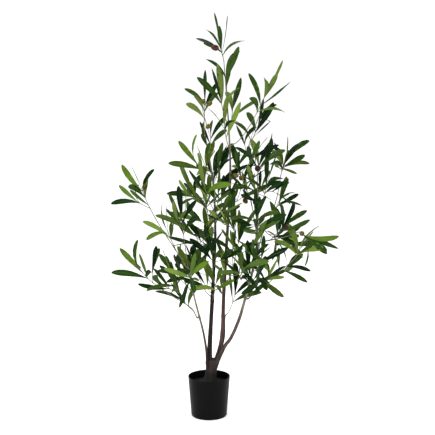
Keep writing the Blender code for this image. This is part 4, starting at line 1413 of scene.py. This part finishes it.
class PotSettings(bpy.types.PropertyGroup):
    """The pot's sizes, colours and gloss"""
    foot_radius: length_setting("Foot radius", "Radius of the pot's underside", 0.0540)
    foot_round: length_setting("Foot rounding", "Radius of the rounded edge at the pot's foot", 0.0030)
    wall: length_setting("Wall", "Thickness of the pot's wall and lip", 0.0022)
    floor: length_setting("Floor", "Thickness of the pot's floor", 0.0035)
    colour: colour_setting("Colour", "Colour of the plastic", (0.0022, 0.0022, 0.0027))
    scuff_colour: colour_setting("Scuff colour", "Colour of the scuffs at its edges", (0.030, 0.030, 0.032))
    roughness: share_setting("Roughness", "How matt the plastic is", 0.42)


class CementSettings(bpy.types.PropertyGroup):
    """The cement's mound and colours"""
    mound: length_setting("Mound", "How far the cement rises at the trunk's foot", 0.0045)
    colour: colour_setting("Colour", "Colour of the cement", (0.0070, 0.0070, 0.0070))
    foot_colour: colour_setting("Foot colour", "Colour of the cement round the trunk", (0.024, 0.024, 0.020))


class BarkSettings(bpy.types.PropertyGroup):
    """The bark's relief and colours"""
    relief: length_setting("Relief", "Height of the bark's ridges", 0.0008)
    trunk_colour: colour_setting("Trunk", "Colour of the trunk", (0.036, 0.026, 0.024))
    foot_colour: colour_setting("Trunk foot", "Colour of the trunk's foot", (0.016, 0.0155, 0.0145))
    # The dark stem colour is partly the bark's own and partly painted shade
    dark_colour: colour_setting("Dark stem", "Colour of the left stem and the strand", (0.022, 0.016, 0.014))
    brown_colour: colour_setting("Brown stem", "Colour of the middle stem", (0.083, 0.053, 0.044))
    red_colour: colour_setting("Red-brown stem", "Colour of the right stem's foot", (0.084, 0.058, 0.052))
    grey_colour: colour_setting("Grey stem", "Colour of the stems inside the crown", (0.075, 0.066, 0.050))
    pale_colour: colour_setting("Pale stem", "Colour of the outer stems higher up", (0.20, 0.19, 0.13))
    twig_colour: colour_setting("Twigs", "Colour of the twigs past their feet", (0.11, 0.12, 0.06))


class LeafSettings(bpy.types.PropertyGroup):
    """The leaves' shape, gloss and tones of green"""
    width: share_setting("Width", "Greatest width as a share of the length", 0.175)
    fold: share_setting("Fold", "Depth of the midrib below the edges as a share of the length", 0.013)
    thickness: length_setting("Thickness", "Depth of the midrib's own relief", 0.0004)
    roughness: share_setting("Roughness", "Roughness of the upper side", 0.46)
    gloss: share_setting("Gloss", "Specular level of the upper side", 0.05)
    # These greens are partly painted light and shade: the deep and dark ones paint shade in the crown, and
    # the light ones and the paler lower sides paint light that shines through the leaves
    deep_above: colour_setting("Deep green", "Upper side of the deepest leaves", (0.0015, 0.012, 0.0015))
    deep_below: colour_setting("Deep green, below", "Lower side of the deepest leaves", (0.022, 0.052, 0.007))
    dark_above: colour_setting("Dark green", "Upper side of the dark leaves", (0.004, 0.025, 0.002))
    dark_below: colour_setting("Dark green, below", "Lower side of the dark leaves", (0.036, 0.076, 0.012))
    mid_above: colour_setting("Middle green", "Upper side of the middle leaves", (0.014, 0.044, 0.003))
    mid_below: colour_setting("Middle green, below", "Lower side of the middle leaves", (0.070, 0.122, 0.022))
    olive_above: colour_setting("Olive green", "Upper side of the olive leaves", (0.044, 0.078, 0.008))
    olive_below: colour_setting("Olive green, below", "Lower side of the olive leaves", (0.105, 0.148, 0.030))
    light_above: colour_setting("Light green", "Upper side of the light leaves", (0.078, 0.145, 0.012))
    light_below: colour_setting("Light green, below", "Lower side of the light leaves", (0.130, 0.202, 0.032))


class FruitSettings(bpy.types.PropertyGroup):
    """The colours of the fruit"""
    red: colour_setting("Red-brown", "Skin of the red-brown fruit", (0.085, 0.026, 0.012))
    ochre: colour_setting("Ochre", "Skin of the ochre fruit", (0.148, 0.124, 0.013))
    # The brown skin is the ochre skin as it looks in shade: painted shade
    brown: colour_setting("Brown", "Skin of the brown fruit", (0.068, 0.046, 0.006))
    dark: colour_setting("Dark", "Skin of the darkest fruit", (0.036, 0.014, 0.009))


class StageSettings(bpy.types.PropertyGroup):
    """The camera, the lights and the floor"""
    camera_x: length_setting("Camera side", "How far right of the pot's middle the camera stands", 0.0256)
    camera_distance: length_setting("Camera distance", "How far in front of the pot the camera stands", 2.6)
    camera_height: length_setting("Camera height", "Height of the camera above the floor", 0.93)
    camera_dip: FloatProperty(
        name="Camera dip", description="How far the camera looks down", default=radians(7.1), subtype="ANGLE")
    lens: FloatProperty(name="Lens", description="Focal length in millimetres", default=73.0)
    floor_colour: colour_setting("Floor", "Colour of the floor", (0.97, 0.97, 0.97))
    floor_glow: FloatProperty(name="Floor glow", description="Light that the floor gives out", default=0.16)
    surround: FloatProperty(name="Surround", description="Brightness of the white surround", default=1.05)
    key_power: power_setting("Key light", "Power of the light on the left", 60.0)
    fill_power: power_setting("Fill light", "Power of the light on the right", 18.0)
    top_power: power_setting("Top light", "Power of the light above", 25.0)


# Operators, panel and registration

class OLIVE_OT_pot(bpy.types.Operator):
    """Make the black plastic pot"""
    bl_idname = "olive_tree.pot"
    bl_label = "Pot"

    def execute(self, context):
        make_pot(context.scene.olive_pot)
        return {"FINISHED"}


class OLIVE_OT_cement(bpy.types.Operator):
    """Make the cement that fills the pot"""
    bl_idname = "olive_tree.cement"
    bl_label = "Cement"

    def execute(self, context):
        make_cement(context.scene.olive_cement)
        return {"FINISHED"}


class OLIVE_OT_bark(bpy.types.Operator):
    """Make the bark of the trunk, the stems and the boughs"""
    bl_idname = "olive_tree.bark"
    bl_label = "Bark"

    def execute(self, context):
        make_bark(context.scene.olive_bark)
        return {"FINISHED"}


class OLIVE_OT_twigs(bpy.types.Operator):
    """Make the twigs, the side shoots and the fruit stalks"""
    bl_idname = "olive_tree.twigs"
    bl_label = "Twigs"

    def execute(self, context):
        make_twigs(context.scene.olive_bark)
        return {"FINISHED"}


class OLIVE_OT_leaves(bpy.types.Operator):
    """Make the leaves, one piece for each tone of green"""
    bl_idname = "olive_tree.leaves"
    bl_label = "Leaves"

    def execute(self, context):
        make_leaves(context.scene.olive_leaves)
        return {"FINISHED"}


class OLIVE_OT_fruit(bpy.types.Operator):
    """Make the fruit, one piece for each colour"""
    bl_idname = "olive_tree.fruit"
    bl_label = "Fruit"

    def execute(self, context):
        make_fruit(context.scene.olive_fruit)
        return {"FINISHED"}


class OLIVE_OT_stage(bpy.types.Operator):
    """Make the floor, the lights and the camera"""
    bl_idname = "olive_tree.stage"
    bl_label = "Stage"

    def execute(self, context):
        make_stage(context.scene.olive_stage)
        return {"FINISHED"}


class OLIVE_PT_tree(bpy.types.Panel):
    """The pieces of the tree"""
    bl_idname = "OLIVE_PT_tree"
    bl_label = "Olive Tree"
    bl_space_type = "VIEW_3D"
    bl_region_type = "UI"
    bl_category = "Olive Tree"

    def draw(self, context):
        for operator in OPERATORS:
            self.layout.operator(operator.bl_idname)


SETTINGS = {
    "olive_pot": PotSettings, "olive_cement": CementSettings, "olive_bark": BarkSettings,
    "olive_leaves": LeafSettings, "olive_fruit": FruitSettings, "olive_stage": StageSettings,
}
OPERATORS = (
    OLIVE_OT_pot, OLIVE_OT_cement, OLIVE_OT_bark, OLIVE_OT_twigs, OLIVE_OT_leaves, OLIVE_OT_fruit,
    OLIVE_OT_stage)


def register():
    """Register the settings, the operators and the panel."""
    for kind in (*SETTINGS.values(), *OPERATORS, OLIVE_PT_tree):
        bpy.utils.register_class(kind)
    for name, kind in SETTINGS.items():
        setattr(bpy.types.Scene, name, PointerProperty(type=kind))


def unregister():
    """Take the settings, the operators and the panel away again."""
    for name in SETTINGS:
        delattr(bpy.types.Scene, name)
    for kind in (OLIVE_PT_tree, *reversed(OPERATORS), *reversed(SETTINGS.values())):
        bpy.utils.unregister_class(kind)


def main():
    """Make every piece."""
    register()
    bpy.ops.olive_tree.pot()
    bpy.ops.olive_tree.cement()
    bpy.ops.olive_tree.bark()
    bpy.ops.olive_tree.twigs()
    bpy.ops.olive_tree.leaves()
    bpy.ops.olive_tree.fruit()
    bpy.ops.olive_tree.stage()


if __name__ == "__main__":
    main()
